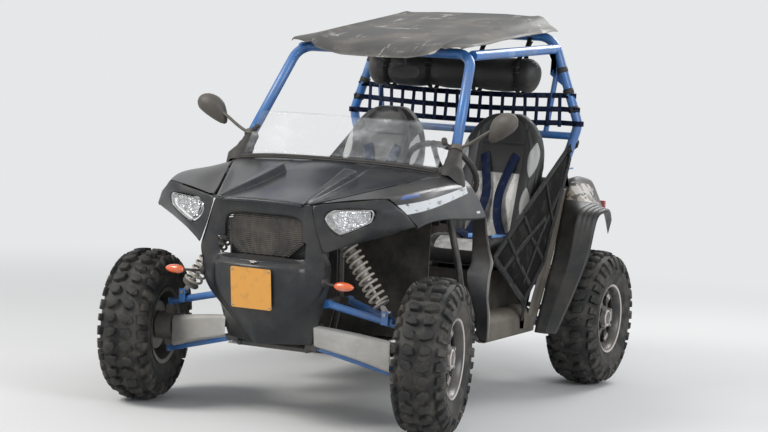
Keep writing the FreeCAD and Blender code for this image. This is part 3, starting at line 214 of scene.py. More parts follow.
class Finish:
    """A material being mixed from colours, noise and bumps."""

    def __init__(self, name, **sockets):
        self.material = bpy.data.materials.new(name)
        self.material.use_nodes = True
        self.tree = self.material.node_tree
        self.shader = self.tree.nodes["Principled BSDF"]
        self.place = self.add("ShaderNodeTexCoord", output="Object")
        self.wear(**sockets)

    def add(self, kind, settings=None, values=None, output=0):
        """Any node: its type, its settings, then the values or links of its sockets."""
        node = self.tree.nodes.new(kind)
        for key, value in (settings or {}).items():
            setattr(node, key, value)
        for key, value in (values or {}).items():
            self.feed(node.inputs[key], value)
        return Shade(self, node.outputs[output])

    def feed(self, socket, value):
        if isinstance(value, Shade):
            self.tree.links.new(value.socket, socket)
        elif isinstance(value, (tuple, list)) and socket.type == "RGBA":
            socket.default_value = (*value, 1)
        else:
            socket.default_value = value

    def wear(self, **sockets):
        """Sets sockets of the surface, such as Base_Color or Roughness."""
        for key, value in sockets.items():
            self.feed(self.shader.inputs[key.replace("_", " ")], value)

    def noise(self, scale, detail=4.0, stretch=(1, 1, 1), rough=0.55):
        where = self.add("ShaderNodeMapping", {}, {"Vector": self.place, "Scale": stretch})
        return self.add("ShaderNodeTexNoise", {},
                        {"Vector": where, "Scale": scale, "Detail": detail, "Roughness": rough})

    def above(self, value, low, high):
        """0 below low, 1 above high and smooth between."""
        return self.add("ShaderNodeMapRange", {"interpolation_type": "SMOOTHSTEP"},
                        {"Value": value, "From Min": low, "From Max": high})

    def blend(self, mask, first, second):
        return self.add("ShaderNodeMix", {"data_type": "RGBA"}, {0: mask, 6: first, 7: second}, 2)

    def axis(self, name):
        return self.add("ShaderNodeSeparateXYZ", {}, {0: self.place}, output=name)

    def facing_up(self):
        normal = self.add("ShaderNodeNewGeometry", output="Normal")
        return self.add("ShaderNodeSeparateXYZ", {}, {0: normal}, output="Z")

    def bump(self, height, strength=0.3, depth=0.001):
        return self.add("ShaderNodeBump", {}, {"Height": height, "Strength": strength,
                                               "Distance": depth})

    def dusty(self, color, amount, roughness, low=0.45, settle=0.35):
        """Dust lies in patches, more of it on faces that look up."""
        patches = self.above(self.noise(7.0, 8.0) + self.noise(60.0, 3.0) * 0.25, low, 0.87)
        film = (patches + self.above(self.facing_up(), 0.1, 0.9) * settle) * amount
        self.wear(Base_Color=self.blend(film, color, DUST), Roughness=roughness + film * 0.35)
        return film


# %% [markdown]
# ### Paint, plastic, rubber and metal
# The cage is bright blue powder coat, rubbed pale where boots and straps touch it. The
# body is black moulded plastic with a slate sheen and a film of dust. Springs, guards and
# rims are pale metal under dirt.

# %% Finishes of the hard pieces
DUST = (0.25, 0.215, 0.17)
PALE_DUST = (0.42, 0.38, 0.32)


def powder_coat(name, color, scuff, roughness=0.32):
    coat = Finish(name, Coat_Roughness=0.25)
    rub = coat.above(coat.noise(9.0, 9.0, (1, 1, 0.35), 0.65), 0.56, 0.68)
    fine = coat.above(coat.noise(160.0, 2.0, (0.15, 1, 1)), 0.6, 0.72)
    base = coat.blend(rub * 0.4 + fine * 0.2, color, scuff)
    film = coat.dusty(base, 0.3, roughness, settle=0.25)
    coat.wear(Coat_Weight=0.35 - film * 0.3,
              Normal=coat.bump(coat.noise(420.0, 2.0), 0.08, 0.0004))
    return coat.material


def moulded_plastic(name, color, roughness, grain, dust=0.3, low=0.45):
    plastic = Finish(name, Specular_IOR_Level=0.45)
    cloud = plastic.noise(3.0, 3.0)
    lighter = tuple(c * 1.5 + 0.002 for c in color)
    base = plastic.blend(cloud, color, lighter)
    film = plastic.dusty(base, dust, roughness, low=low)
    scratch = plastic.above(plastic.noise(210.0, 2.0, (1, 0.05, 0.3)), 0.66, 0.72)
    plastic.wear(Normal=plastic.bump(plastic.noise(grain, 3.0) + scratch * 0.5 + film * 0.3,
                                     0.14, 0.0006))
    return plastic.material


def bare_metal(name, color, roughness, metallic, dirt):
    metal = Finish(name, Metallic=metallic)
    brushed = metal.noise(55.0, 6.0, (0.2, 1, 1))
    film = metal.dusty(metal.blend(brushed, color, tuple(0.72 * c for c in color)),
                       dirt, roughness)
    metal.wear(Metallic=metallic - film * 0.6, Normal=metal.bump(brushed, 0.1, 0.0004))
    return metal.material


blue_paint = powder_coat("blue_powder_coat", (0.030, 0.155, 0.44), (0.30, 0.45, 0.66))
black_paint = powder_coat("black_powder_coat", (0.02, 0.02, 0.022), (0.09, 0.09, 0.1), 0.4)
dusty_tube = powder_coat("dusty_tube_paint", (0.12, 0.1, 0.082), (0.2, 0.17, 0.14), 0.55)
hood_plastic = moulded_plastic("hood_plastic", (0.010, 0.013, 0.018), 0.22, 300, 0.10)
fascia_plastic = moulded_plastic("fascia_plastic", (0.010, 0.012, 0.015), 0.3, 700, 0.12)
guard_plastic = moulded_plastic("mudguard_plastic", (0.02, 0.021, 0.023), 0.55, 900, 0.22)
floor_plastic = moulded_plastic("cab_floor_plastic", (0.016, 0.015, 0.014), 0.65, 700, 0.28, 0.42)
sill_plastic = moulded_plastic("sill_plastic", (0.045, 0.04, 0.034), 0.55, 600, 0.42, 0.34)
mirror_plastic = moulded_plastic("mirror_plastic", (0.06, 0.054, 0.048), 0.5, 500, 0.3)
rubber = moulded_plastic("black_rubber", (0.014, 0.014, 0.014), 0.62, 900, 0.15)
guard_metal = bare_metal("guard_aluminium", (0.62, 0.61, 0.58), 0.42, 0.55, 0.35)
steel = bare_metal("dull_steel", (0.42, 0.41, 0.4), 0.45, 0.9, 0.4)
cast = bare_metal("cast_case", (0.16, 0.155, 0.15), 0.6, 0.5, 0.5)
machined = bare_metal("machined_lip", (0.72, 0.66, 0.63), 0.3, 0.85, 0.15)
spring_enamel = bare_metal("spring_enamel", (0.52, 0.48, 0.41), 0.5, 0.2, 0.35)
rim_black = powder_coat("rim_black", (0.02, 0.02, 0.021), (0.12, 0.11, 0.1), 0.35)

# %% [markdown]
# ## Wheels
# The tyres are chunky mud tyres with staggered bars that wrap over the shoulder. A lug
# could be displaced from a texture, but its steep walls need real geometry, so one pitch
# of lugs is extruded flat, bent over the carcass, and then spun round the axle.

# %% Tyre finish
tyre_rubber = Finish("tyre_rubber", Specular_IOR_Level=0.35)
lug_height = tyre_rubber.add("ShaderNodeAttribute", {"attribute_name": "height"}, output="Fac")
mud = tyre_rubber.above(tyre_rubber.noise(16.0, 8.0), 0.42, 0.62)
grit = tyre_rubber.above(tyre_rubber.noise(150.0), 0.55, 0.7) * 0.14
film = mud * (0.12 + 0.4 * (1 - lug_height)) + grit
tyre_rubber.wear(Base_Color=tyre_rubber.blend(film, (0.016, 0.016, 0.016), (0.12, 0.11, 0.095)),
                 Roughness=0.62 + film * 0.25,
                 Normal=tyre_rubber.bump(tyre_rubber.noise(220.0, 5.0) + mud * 0.6, 0.35, 0.0015))
tyre_rubber = tyre_rubber.material

# %% One wheel's frame, with +X outwards along the axle
TYRE_RADIUS, KINGPIN_INSET, STEER = 0.343, 0.12, math.radians(10.4)
AXLE_Y = 0.978  # the front axle lies this far ahead of the origin, the rear one behind it
KINGPIN_X, REAR_WHEEL_X = 0.585, 0.710
REAR_WIDEN = 1.16  # how much wider the rear tyres are
FRONT_RIM_HALF, REAR_RIM_HALF = 0.096, 0.111
WHEELS = {"front_left": (1, True), "front_right": (-1, True),
          "rear_left": (1, False), "rear_right": (-1, False)}


def wheel_frame(side, front):
    turn = Matrix.Rotation((STEER if front else 0) + (0 if side > 0 else math.pi), 4, "Z")
    if not front:
        return Matrix.Translation((side * REAR_WHEEL_X, AXLE_Y, TYRE_RADIUS)) @ turn
    return (Matrix.Translation((side * KINGPIN_X, -AXLE_Y, TYRE_RADIUS)) @ turn
            @ Matrix.Translation((KINGPIN_INSET, 0, 0)))


def join_form(form, other):
    """Adds a second bmesh to the first."""
    mesh = bpy.data.meshes.new("joined")
    other.to_mesh(mesh)
    other.free()
    form.from_mesh(mesh)
    bpy.data.meshes.remove(mesh)


def paint_faces(form, number):
    """Gives every face of a form the material with this number."""
    for face in form.faces:
        face.material_index = number
    return form


def weld(form):
    """Merges points that meet and turns the faces outwards."""
    bmesh.ops.remove_doubles(form, verts=form.verts, dist=1e-6)
    bmesh.ops.recalc_face_normals(form, faces=form.faces)
    return form


def only_verts(parts):
    return [part for part in parts if isinstance(part, bmesh.types.BMVert)]


def turn_to(direction):
    """The turn that takes +Z to a direction."""
    return Vector(direction).to_track_quat("Z", "Y").to_matrix().to_4x4()


def section_ring(form, points, steps, closed=True):
    """Spins a section of (x, radius) points about the X axis."""
    corners = [form.verts.new((x, 0, radius)) for x, radius in points]
    runs = list(zip(corners, corners[1:] + corners[:1] if closed else corners[1:]))
    edges = [form.edges.new(pair) for pair in runs]
    bmesh.ops.spin(form, geom=corners + edges, cent=(0, 0, 0), axis=(1, 0, 0),
                   angle=math.tau, steps=steps, use_merge=True)
    weld(form)


# %% Tyres
CARCASS = ((0.0, 0.3225), (0.036, 0.321), (0.064, 0.315), (0.088, 0.300), (0.102, 0.280),
           (0.109, 0.252), (0.108, 0.222), (0.100, 0.194), (0.092, 0.176), (0.086, 0.162))
PITCHES = 16
# outlines of one pitch: distance from the tyre's middle over the crown, and round it
LUGS = (((0.004, -0.016), (0.030, -0.021), (0.064, -0.006), (0.069, 0.024), (0.044, 0.034),
         (0.010, 0.014)),
        ((0.018, 0.050), (0.056, 0.056), (0.066, 0.080), (0.050, 0.099), (0.020, 0.093),
         (0.011, 0.070)),
        ((0.078, -0.013), (0.106, -0.020), (0.150, -0.011), (0.153, 0.026), (0.112, 0.036),
         (0.083, 0.026)),
        ((0.084, 0.056), (0.126, 0.053), (0.130, 0.090), (0.089, 0.096)))


def carcass_point(travel, height, widen):
    """A point over the carcass: travel along its section from the middle, then outwards."""
    run = 0.0
    for (x0, r0), (x1, r1) in zip(CARCASS, CARCASS[1:]):
        step = math.hypot(x1 - x0, r1 - r0)
        if travel <= run + step:
            break
        run += step
    share = min((travel - run) / step, 1.0)
    lean = math.atan2(r0 - r1, x1 - x0)
    centre = (x0 + share * (x1 - x0), r0 + share * (r1 - r0))
    return (centre[0] * widen + math.sin(lean) * height, centre[1] + math.cos(lean) * height)


def lug_top(travel):
    """Lugs stand 20 mm out of the crown and thin out down the shoulder."""
    return 0.0198 - 0.0115 * min(max((travel - 0.085) / 0.065, 0), 1)


def tyre_form(widen):
    lugs = bmesh.new()
    for hand in (1, -1):
        shift = 0 if hand > 0 else math.pi * TYRE_RADIUS / PITCHES
        for outline in LUGS:
            lug = bmesh.new()
            base = lug.faces.new([lug.verts.new((t, v + shift, 0)) for t, v in outline])
            top = only_verts(bmesh.ops.extrude_face_region(lug, geom=[base])["geom"])
            middle = sum((v.co for v in top), Vector()) / len(top)
            for vert in top:
                vert.co = middle + (vert.co - middle) * 0.84 + Vector((0, 0, 1))
            for at in (0.04, 0.095, 0.12):
                bmesh.ops.bisect_plane(lug, geom=lug.verts[:] + lug.edges[:] + lug.faces[:],
                                       plane_co=(at, 0, 0), plane_no=(1, 0, 0))
            for vert in lug.verts:
                travel, round_it, share = vert.co
                height = lug_top(travel) * share - 0.003 * (1 - share)
                x, radius = carcass_point(travel, height, widen)
                angle = round_it / TYRE_RADIUS
                vert.co = (hand * x, radius * math.sin(angle), radius * math.cos(angle))
            join_form(lugs, lug)
    bmesh.ops.recalc_face_normals(lugs, faces=lugs.faces)
    edges = [e for e in lugs.edges if e.calc_length() > 0.008 and e.is_manifold
             and e.calc_face_angle(0) > 0.6
             and all(math.hypot(v.co.y, v.co.z) > 0.31 for v in e.verts)]
    bmesh.ops.bevel(lugs, geom=edges, offset=0.003, offset_type="OFFSET", affect="EDGES",
                    segments=2, profile=0.5, material=-1)
    bmesh.ops.spin(lugs, geom=lugs.verts[:] + lugs.edges[:] + lugs.faces[:], cent=(0, 0, 0),
                   axis=(1, 0, 0), angle=math.tau * (PITCHES - 1) / PITCHES,
                   steps=PITCHES - 1, use_duplicate=True)
    return lugs


def carcass_form(widen):
    half = [(x * widen, radius) for x, radius in CARCASS]
    inner = [(x * 0.86, radius - 0.012) for x, radius in half[:-1]]
    outer = half[::-1] + [(-x, radius) for x, radius in half[1:]]
    inside = [(-x, radius) for x, radius in inner[::-1]] + inner[1:]
    form = bmesh.new()
    section_ring(form, outer + inside, 60)
    for ring, out in ((0.232, 0.1085), (0.262, 0.1065)):
        for hand in (1, -1):
            bead = bmesh.new()
            x = out * widen * hand
            section_ring(bead, [(x - 0.002, ring - 0.002), (x + 0.0015 * hand, ring - 0.001),
                                (x + 0.0015 * hand, ring + 0.001), (x - 0.002, ring + 0.002)], 60)
            join_form(form, bead)
    return form


for place, (side, front) in WHEELS.items():
    widen = 1.0 if front else REAR_WIDEN
    form = carcass_form(widen)
    join_form(form, tyre_form(widen))
    height = form.verts.layers.float.new("height")
    for vert in form.verts:
        radius = math.hypot(vert.co.y, vert.co.z)
        vert[height] = min(max((radius - 0.318) / 0.024, 0), 1)
    form.transform(wheel_frame(side, front))
    tyre = mesh_piece("lugged_tyre_" + place, form, [tyre_rubber], sharp=38)
    stands_for(tyre, "wheel_" + place, "tyre", "tyre_" + place)
print("tyre faces", len(tyre.data.polygons))

# %% [markdown]
# The rims are black with a bright machined lip. Six windows open the dished centre. They
# could be cut with booleans, but deleting faces of a spun disc and giving the rest a wall
# keeps the mesh clean.

# %% Rims
SPOKES = 6


def rim_form(half):
    """Barrel and lip, the spoked disc, hub cap, nuts and brake; half is half its width."""
    form = bmesh.new()
    lip = [(half, 0.1735), (half - 0.004, 0.1745), (half - 0.008, 0.172), (half - 0.009, 0.1595),
           (half - 0.03, 0.153), (0.03, 0.146), (-half + 0.03, 0.146), (-half + 0.012, 0.1595),
           (-half + 0.008, 0.1735), (-half, 0.1735), (-half + 0.002, 0.155),
           (-half + 0.03, 0.141), (0.026, 0.141), (half - 0.036, 0.147), (half - 0.012, 0.156),
           (half - 0.003, 0.164)]
    section_ring(form, lip, 64)
    for face in form.faces:
        middle = face.calc_center_median()
        radius = math.hypot(middle.y, middle.z)
        face.material_index = int(middle.x > half - 0.0065 and radius > 0.163)
    disc = bmesh.new()
    face_x = half - 0.034
    rings = ((face_x + 0.014, 0.030), (face_x + 0.012, 0.048), (face_x + 0.002, 0.062),
             (face_x - 0.005, 0.090), (face_x - 0.004, 0.112), (face_x, 0.128),
             (face_x - 0.002, 0.149))
    section_ring(disc, rings, SPOKES * 10, closed=False)
    holes = []
    for face in disc.faces:
        middle = face.calc_center_median()
        radius = math.hypot(middle.y, middle.z)
        share = (math.atan2(middle.z, middle.y) / math.tau * SPOKES) % 1.0
        if 0.062 < radius < 0.128 and 0.2 < share < 0.8:
            holes.append(face)
        face.material_index = int(0.112 < radius < 0.128)
    bmesh.ops.delete(disc, geom=holes, context="FACES")
    if sum(f.normal.x for f in disc.faces) < 0:
        bmesh.ops.reverse_faces(disc, faces=disc.faces)
    bmesh.ops.solidify(disc, geom=disc.faces, thickness=0.009)
    join_form(form, disc)
    cap_x = face_x + 0.012
    cap = bmesh.new()
    section_ring(cap, [(cap_x, 0.031), (cap_x + 0.011, 0.033), (cap_x + 0.012, 0.038),
                       (cap_x + 0.008, 0.043), (cap_x, 0.044)], 32, closed=False)
    join_form(form, paint_faces(cap, 1))
    centre = bmesh.new()
    section_ring(centre, [(cap_x - 0.01, 0.0325), (cap_x + 0.007, 0.0325), (cap_x + 0.009, 0.018),
                          (cap_x + 0.010, 0.0)], 24, closed=False)
    join_form(form, centre)
    for step in range(4):
        nut = bmesh.new()
        bmesh.ops.create_cone(nut, cap_ends=True, segments=6, radius1=0.0105, radius2=0.009,
                              depth=0.018, matrix=Matrix.Rotation(math.pi / 2, 4, "Y"))
        bmesh.ops.translate(nut, verts=nut.verts, vec=(cap_x + 0.002, 0, 0.054))
        nut.transform(Matrix.Rotation(math.tau * (step + 0.5) / 4, 4, "X"))
        join_form(form, paint_faces(nut, 2))
    brake = bmesh.new()
    section_ring(brake, [(-0.058, 0.042), (-0.058, 0.108), (-0.053, 0.108), (-0.053, 0.042)], 48)
    section_ring(brake, [(-0.062, 0.0), (-0.062, 0.040), (0.05, 0.040), (0.05, 0.0)], 24, False)
    section_ring(brake, [(-0.078, 0.0), (-0.078, 0.0215), (-0.05, 0.0215), (-0.05, 0.0)],
                 24, False)
    join_form(form, paint_faces(brake, 2))
    return form


for place, (side, front) in WHEELS.items():
    form = rim_form(FRONT_RIM_HALF if front else REAR_RIM_HALF)
    form.transform(wheel_frame(side, front))
    rim = mesh_piece("spoked_rim_" + place, form, [rim_black, machined, steel], sharp=35)
    stands_for(rim, "wheel_" + place, "rim", "rim_" + place)

# %% [markdown]
# ## Springs and dampers
# Pale coil springs wound round dusty dampers stand between the blue arms and the frame. A
# coil could follow a curve, but a circle spun with a lift along the axis is a spring at once.

# %% Coil springs
def along(foot, head):
    """A frame with +Z from the foot to the head."""
    run = Vector(head) - Vector(foot)
    return Matrix.Translation(foot) @ turn_to(run), run.length


def ring_z(form, points, steps):
    """Spins an open section of (radius, z) points about the Z axis."""
    corners = [form.verts.new((radius, 0, z)) for radius, z in points]
    edges = [form.edges.new(pair) for pair in zip(corners, corners[1:])]
    bmesh.ops.spin(form, geom=corners + edges, cent=(0, 0, 0), axis=(0, 0, 1),
                   angle=math.tau, steps=steps, use_merge=True)
    weld(form)


def coil(form, radius, wire, low, high, turns):
    steps = int(turns * 18)
    made = bmesh.ops.create_circle(form, segments=8, radius=wire,
                                   matrix=Matrix.Translation((radius, 0, low))
                                   @ Matrix.Rotation(math.pi / 2, 4, "X"))
    ring = made["verts"]
    edges = list({e for v in ring for e in v.link_edges})
    bmesh.ops.contextual_create(form, geom=edges)
    bmesh.ops.spin(form, geom=ring + edges, cent=(0, 0, 0), axis=(0, 0, 1),
                   dvec=(0, 0, (high - low) / steps), angle=math.tau * turns, steps=steps)
    bmesh.ops.holes_fill(form, edges=[e for e in form.edges if e.is_boundary], sides=0)
    weld(form)


def cross_pin(place, radius, length, segments):
    """A pin along Y through the eye of a damper, round or six-sided."""
    pin = bmesh.new()
    bmesh.ops.create_cone(pin, cap_ends=True, segments=segments, radius1=radius, radius2=radius,
                          depth=length, matrix=Matrix.Rotation(math.pi / 2, 4, "X"))
    bmesh.ops.translate(pin, verts=pin.verts, vec=place)
    return paint_faces(pin, 1)


spring_form = bmesh.new()
for side in SIDES:
    for axle_y in (-AXLE_Y, AXLE_Y):
        foot, head = (side * 0.5, axle_y - 0.035, 0.509), (side * 0.277, axle_y - 0.035, 0.815)
        where, length = along(foot, head)
        unit = bmesh.new()
        coil(unit, 0.0365, 0.0058, 0.058, length - 0.05, 9.4)
        body = bmesh.new()
        ring_z(body, [(0, 0.01), (0.012, 0.01), (0.012, 0.042), (0.038, 0.045), (0.040, 0.052),
                      (0.030, 0.056), (0.0085, 0.060), (0.0085, 0.16), (0.021, 0.162),
                      (0.022, length - 0.06), (0.027, length - 0.058), (0.034, length - 0.046),
                      (0.038, length - 0.042), (0.036, length - 0.034), (0.020, length - 0.03),
                      (0.014, length - 0.012), (0, length - 0.01)], 28)
        join_form(unit, paint_faces(body, 1))
        unit.transform(where)
        for eye in (foot, head):
            join_form(unit, cross_pin(eye, 0.015, 0.032, 24))
            join_form(unit, cross_pin(eye, 0.009, 0.054, 6))
        join_form(spring_form, unit)
chassis_piece("wound_coil_springs", spring_form, [spring_enamel, steel], "spring_steel",
              "coil_shocks", sharp=40)

# %% [markdown]
# ## Moulded body panels
# The hood, fenders and nose are thin plastic mouldings with soft curves between a few
# sharp creases. A grid laid on measured points and smoothed by subdivision gives that,
# because an edge can be marked as a crease and stays sharp.

# %% Panels from rows of measured points
def in_metres(point):
    return Vector(point) / 1000


def grid_form(rows, creased_rows=(), creased_columns=(), sharpness=0.75):
    """A grid with its corners laid on rows of points, in millimetres."""
    form = bmesh.new()
    width = len(rows[0])
    bmesh.ops.create_grid(form, x_segments=width - 1, y_segments=len(rows) - 1, size=1)
    form.verts.ensure_lookup_table()
    crease = form.edges.layers.float.new("crease_edge")
    index = {}
    for i, row in enumerate(rows):
        for j, point in enumerate(row):
            vert = form.verts[i * width + j]
            vert.co = in_metres(point)
            index[vert] = (i, j)
    for edge in form.edges:
        (i, j), (k, m) = (index[v] for v in edge.verts)
        if (i == k and i in creased_rows) or (j == m and j in creased_columns):
            edge[crease] = sharpness
    return form


def on_side(form, side):
    """Mirrors a form across the vehicle's middle plane where the side is -1, the right."""
    if side < 0:
        bmesh.ops.scale(form, verts=form.verts, vec=(-1, 1, 1))
        bmesh.ops.reverse_faces(form, faces=form.faces)
    return form


def mirror_form(form):
    """The form and its mirror image across the vehicle's middle plane."""
    join_form(form, on_side(form.copy(), -1))
    return form


def full_row(half):
    """A row over the full width, from the half that starts in the middle."""
    return [(-x, y, z) for x, y, z in reversed(half[1:])] + list(half)


def give_wall(form, thickness):
    """Thickens an open form and turns the faces outwards."""
    bmesh.ops.solidify(form, geom=form.faces[:], thickness=thickness)
    bmesh.ops.recalc_face_normals(form, faces=form.faces)
    return form


def round_off(form, parts, width, segments, affect="EDGES"):
    bmesh.ops.bevel(form, geom=parts, offset=width, affect=affect, segments=segments,
                    profile=0.5, material=-1)


def block_form(place, size, rounding, segments, tilt=0):
    """A block with rounded edges, in metres, tilted about X by degrees."""
    form = bmesh.new()
    bmesh.ops.create_cube(form, size=1.0)
    form.transform(Matrix.Translation(place) @ Matrix.Rotation(math.radians(tilt), 4, "X")
                   @ Matrix.Diagonal((*size, 1)))
    round_off(form, form.edges[:], rounding, segments)
    return form


def turned_towards(form, direction):
    """Turns the faces so that they look in a direction on the whole."""
    form.normal_update()
    if sum(f.normal.dot(Vector(direction)) * f.calc_area() for f in form.faces) < 0:
        bmesh.ops.reverse_faces(form, faces=form.faces)
    return form


def panel(name, form, materials, thickness, levels, slot, *cad_nodes):
    """A thin piece of the chassis with a wall, smoothed by subdivision."""
    piece = mesh_piece(name, form, materials)
    wall = piece.modifiers.new("wall", "SOLIDIFY")
    wall.thickness, wall.offset, wall.edge_crease_rim = thickness, -1, 0.9
    soft = piece.modifiers.new("soft", "SUBSURF")
    soft.levels = soft.render_levels = levels
    return stands_for(piece, "chassis", slot, *cad_nodes)


# %% Hood with its two scoops
# share of the length, middle height, scoop's inner foot, top, outer top, foot, and its rise
HOOD = ((0.0, 972, 196, 202, 210, 216, 3), (0.015, 976, 194, 201, 211, 217, 8),
        (0.18, 992, 178, 186, 206, 214, 19), (0.36, 1011, 163, 172, 203, 213, 27),
        (0.56, 1047, 148, 158, 206, 216, 31), (0.70, 1074, 138, 149, 209, 220, 32),
        (0.705, 1075, 138, 149, 209, 220, -3), (0.82, 1098, 132, 150, 200, 216, -4),
        (1.0, 1124, 130, 150, 196, 214, -2))
hood_rows = []
for share, middle, inner, top, outer, foot, rise in HOOD:
    edge_x, y, edge_z = 230 + 297 * share, -1247 + 655 * share, 966 + 129 * share
    half = []
    for x, lift in ((0, 0), (inner * 0.55, 0), (inner, -2), (top, rise), (outer, rise * 0.9),
                    (foot, 0), ((foot + edge_x) / 2, 2), (edge_x - 3, 0)):
        slope = abs(x) / edge_x
        half.append((x, y, middle + (edge_z - middle) * slope ** 1.4 + lift))
    hood_rows.append(full_row(half))
form = turned_towards(grid_form(hood_rows, (1, 5, 6), (2, 3, 4, 5, 9, 10, 11, 12)), (0, 0, 1))
panel("hood_panel", form, [hood_plastic], 0.004, 3, "gloss_black", "hood")

# %% Front fenders with the lamp pods
def fender_finish():
    """Black plastic with a long white wedge on the side and two blue bars above it."""
    shell = Finish("fender_plastic", Specular_IOR_Level=0.45)
    x, y, z = (shell.axis(name) for name in "XYZ")
    outwards = shell.add("ShaderNodeMath", {"operation": "ABSOLUTE"}, {0: x})
    side = shell.above(outwards, 0.560, 0.564)

    def band(value, low, high, soft=0.0015):
        return shell.above(value, low - soft, low + soft) * (1 - shell.above(value, high - soft,
                                                                            high + soft))

    wedge = (shell.above(z - y * 0.119, 1.0735, 1.0755)
             * (1 - shell.above(z - y * 0.1, 1.0925, 1.0945))
             * band(y, -1.124, -0.484, 0.003))
    bars = band(z - y * 0.1, 1.112, 1.126) * band(y, -1.134, -0.947, 0.003)
    mark = band(z, 0.926, 0.936) * band(y, -0.43, -0.39)
    worn = shell.above(shell.noise(34.0, 8.0, (1, 0.4, 1)), 0.32, 0.46)
    base = shell.blend(shell.noise(3.0, 3.0), (0.012, 0.014, 0.017), (0.02, 0.023, 0.028))
    base = shell.blend(bars * side * worn, base, (0.02, 0.09, 0.32))
    base = shell.blend((wedge + mark) * side * worn, base, (0.62, 0.64, 0.66))
    film = shell.dusty(base, 0.14, 0.28)
    shell.wear(Normal=shell.bump(shell.noise(300.0, 3.0) + film * 0.3, 0.12, 0.0006))
    return shell.material


fender_plastic = fender_finish()
CREASE = ((532, -1131, 1011), (590, -960, 1040), (602, -757, 1050), (606, -590, 1054),
          (602, -403, 1045))
LIP = ((640, -1052, 895), (654, -960, 922), (656, -757, 928), (651, -560, 912),
       (646, -312, 906))


def hood_edge(share):
    return (231 + 297 * share, -1247 + 655 * share, 966 + 129 * share)


fender_top = [hood_edge(s) for s in (0.0, 0.44, 0.75, 1.0)] + [(560, -400, 1077)]
rows = []
for top, crease_point, lip in zip(fender_top, CREASE, LIP):
    top, ridge, low = Vector(top), Vector(crease_point), Vector(lip)
    rows.append([top, top.lerp(ridge, 0.5) + Vector((0, 0, 5)), ridge,
                 ridge.lerp(low, 0.5) + Vector((5, 0, 4)), low, low + Vector((-10, 0, -14))])
form = turned_towards(grid_form(rows, (), (2, 4)), (0.4, 0, 1))
panel("front_fender_shells", mirror_form(form), [fender_plastic], 0.004, 2, "gloss_black",
      "front_fenders")

POD_EDGE = ((262, -1247, 860), (233, -1248, 965), (382, -1189, 987), (531, -1131, 1010),
            (598, -1090, 955), (640, -1052, 893), (530, -1098, 852), (420, -1160, 812),
            (330, -1222, 776), (300, -1243, 758))
LAMP = ((299, 912), (312, 932), (331, 948), (408, 953), (482, 958), (487, 944), (481, 907),
        (424, 876), (362, 847), (322, 876))


def lamp_y(x, z):
    """The lamp's cover leans back towards the side."""
    return -1206 + 0.33 * (x - 393) + 0.03 * (z - 913)


def loop_edges(form, points):
    corners = [form.verts.new(in_metres(p)) for p in points]
    return [form.edges.new(pair) for pair in zip(corners, corners[1:] + corners[:1])]


def lamp_outline(grow=0.0, deep=0.0):
    """The lamp's outline, wider by a share and further back."""
    cx, cz = 393, 908
    return [(cx + (x - cx) * (1 + grow), lamp_y(x, z) + deep, cz + (z - cz) * (1 + grow))
            for x, z in LAMP]


form = bmesh.new()
start = loop_edges(form, POD_EDGE)
rim_edges = loop_edges(form, [(x, y + 3, z) for x, y, z in lamp_outline(0.09)])
bmesh.ops.bridge_loops(form, edges=start + rim_edges)
inner = bmesh.ops.extrude_edge_only(form, edges=rim_edges)["geom"]
bmesh.ops.translate(form, verts=only_verts(inner), vec=(-0.004, 0.022, 0.001))
bmesh.ops.subdivide_edges(form, edges=[e for e in form.edges if e.calc_length() > 0.05], cuts=1,
                          use_grid_fill=True)
bmesh.ops.recalc_face_normals(form, faces=form.faces)
turned_towards(form, (0, -1, 0))
panel("lamp_pods", mirror_form(form), [fascia_plastic], 0.004, 1, "gloss_black")

# %% [markdown]
# ## Lamps
# Each lamp is a clear moulded cover over a silver bowl with flutes and two bulbs. Glass that
# refracts would be dark without many bounces, so the cover lets light straight through and
# keeps only its gloss and a little haze.

# %% Lamp finishes
clear_cover = Finish("clear_lamp_cover", Roughness=0.08, Coat_Weight=1.0, Coat_Roughness=0.05)
haze = clear_cover.above(clear_cover.noise(40.0, 6.0), 0.45, 0.7)
clear_cover.wear(Base_Color=clear_cover.blend(haze, (0.9, 0.92, 0.94), (0.8, 0.78, 0.74)),
                 Alpha=0.16 + haze * 0.16)
clear_cover = clear_cover.material

reflector = Finish("lamp_reflector", Metallic=0.85, Roughness=0.2)
facets = reflector.add("ShaderNodeTexVoronoi", {"feature": "F1"},
                       {"Vector": reflector.place, "Scale": 75.0}, output="Distance")
# The bowl's colour goes from dark grey to bright silver in noise patches: the bright patches are
# painted reflections.
painted_reflection_patches = reflector.above(reflector.noise(45.0, 2.0, (1, 1, 0.3)), 0.35, 0.65)
reflector.wear(Base_Color=reflector.blend(painted_reflection_patches, (0.42, 0.43, 0.45), (0.93, 0.94, 0.96)),
               Normal=reflector.bump(facets, 0.9, 0.012))
reflector = reflector.material
bezel_grey = moulded_plastic("bezel_grey", (0.32, 0.32, 0.32), 0.4, 500, 0.3)


# %% Lamps
def outline_face(form, points):
    return form.faces.new([form.verts.new(in_metres(p)) for p in points])


def inset_steps(form, face, steps):
    """Insets a face again and again, each time moving it along -Y by a depth in metres."""
    for width, depth in steps:
        bmesh.ops.inset_region(form, faces=[face], thickness=width, use_even_offset=True)
        bmesh.ops.translate(form, verts=face.verts[:], vec=(0, -depth, 0))
    return face


form = bmesh.new()
face = outline_face(form, lamp_outline(0.0, -2))
face = inset_steps(form, face, ((0.004, 0.0035), (0.014, 0.0035), (0.02, 0.0015)))
bmesh.ops.poke(form, faces=[face])
turned_towards(form, (0, -1, 0))
panel("lamp_covers", mirror_form(form), [clear_cover], 0.0025, 2, "lamp_glass", "headlamps")

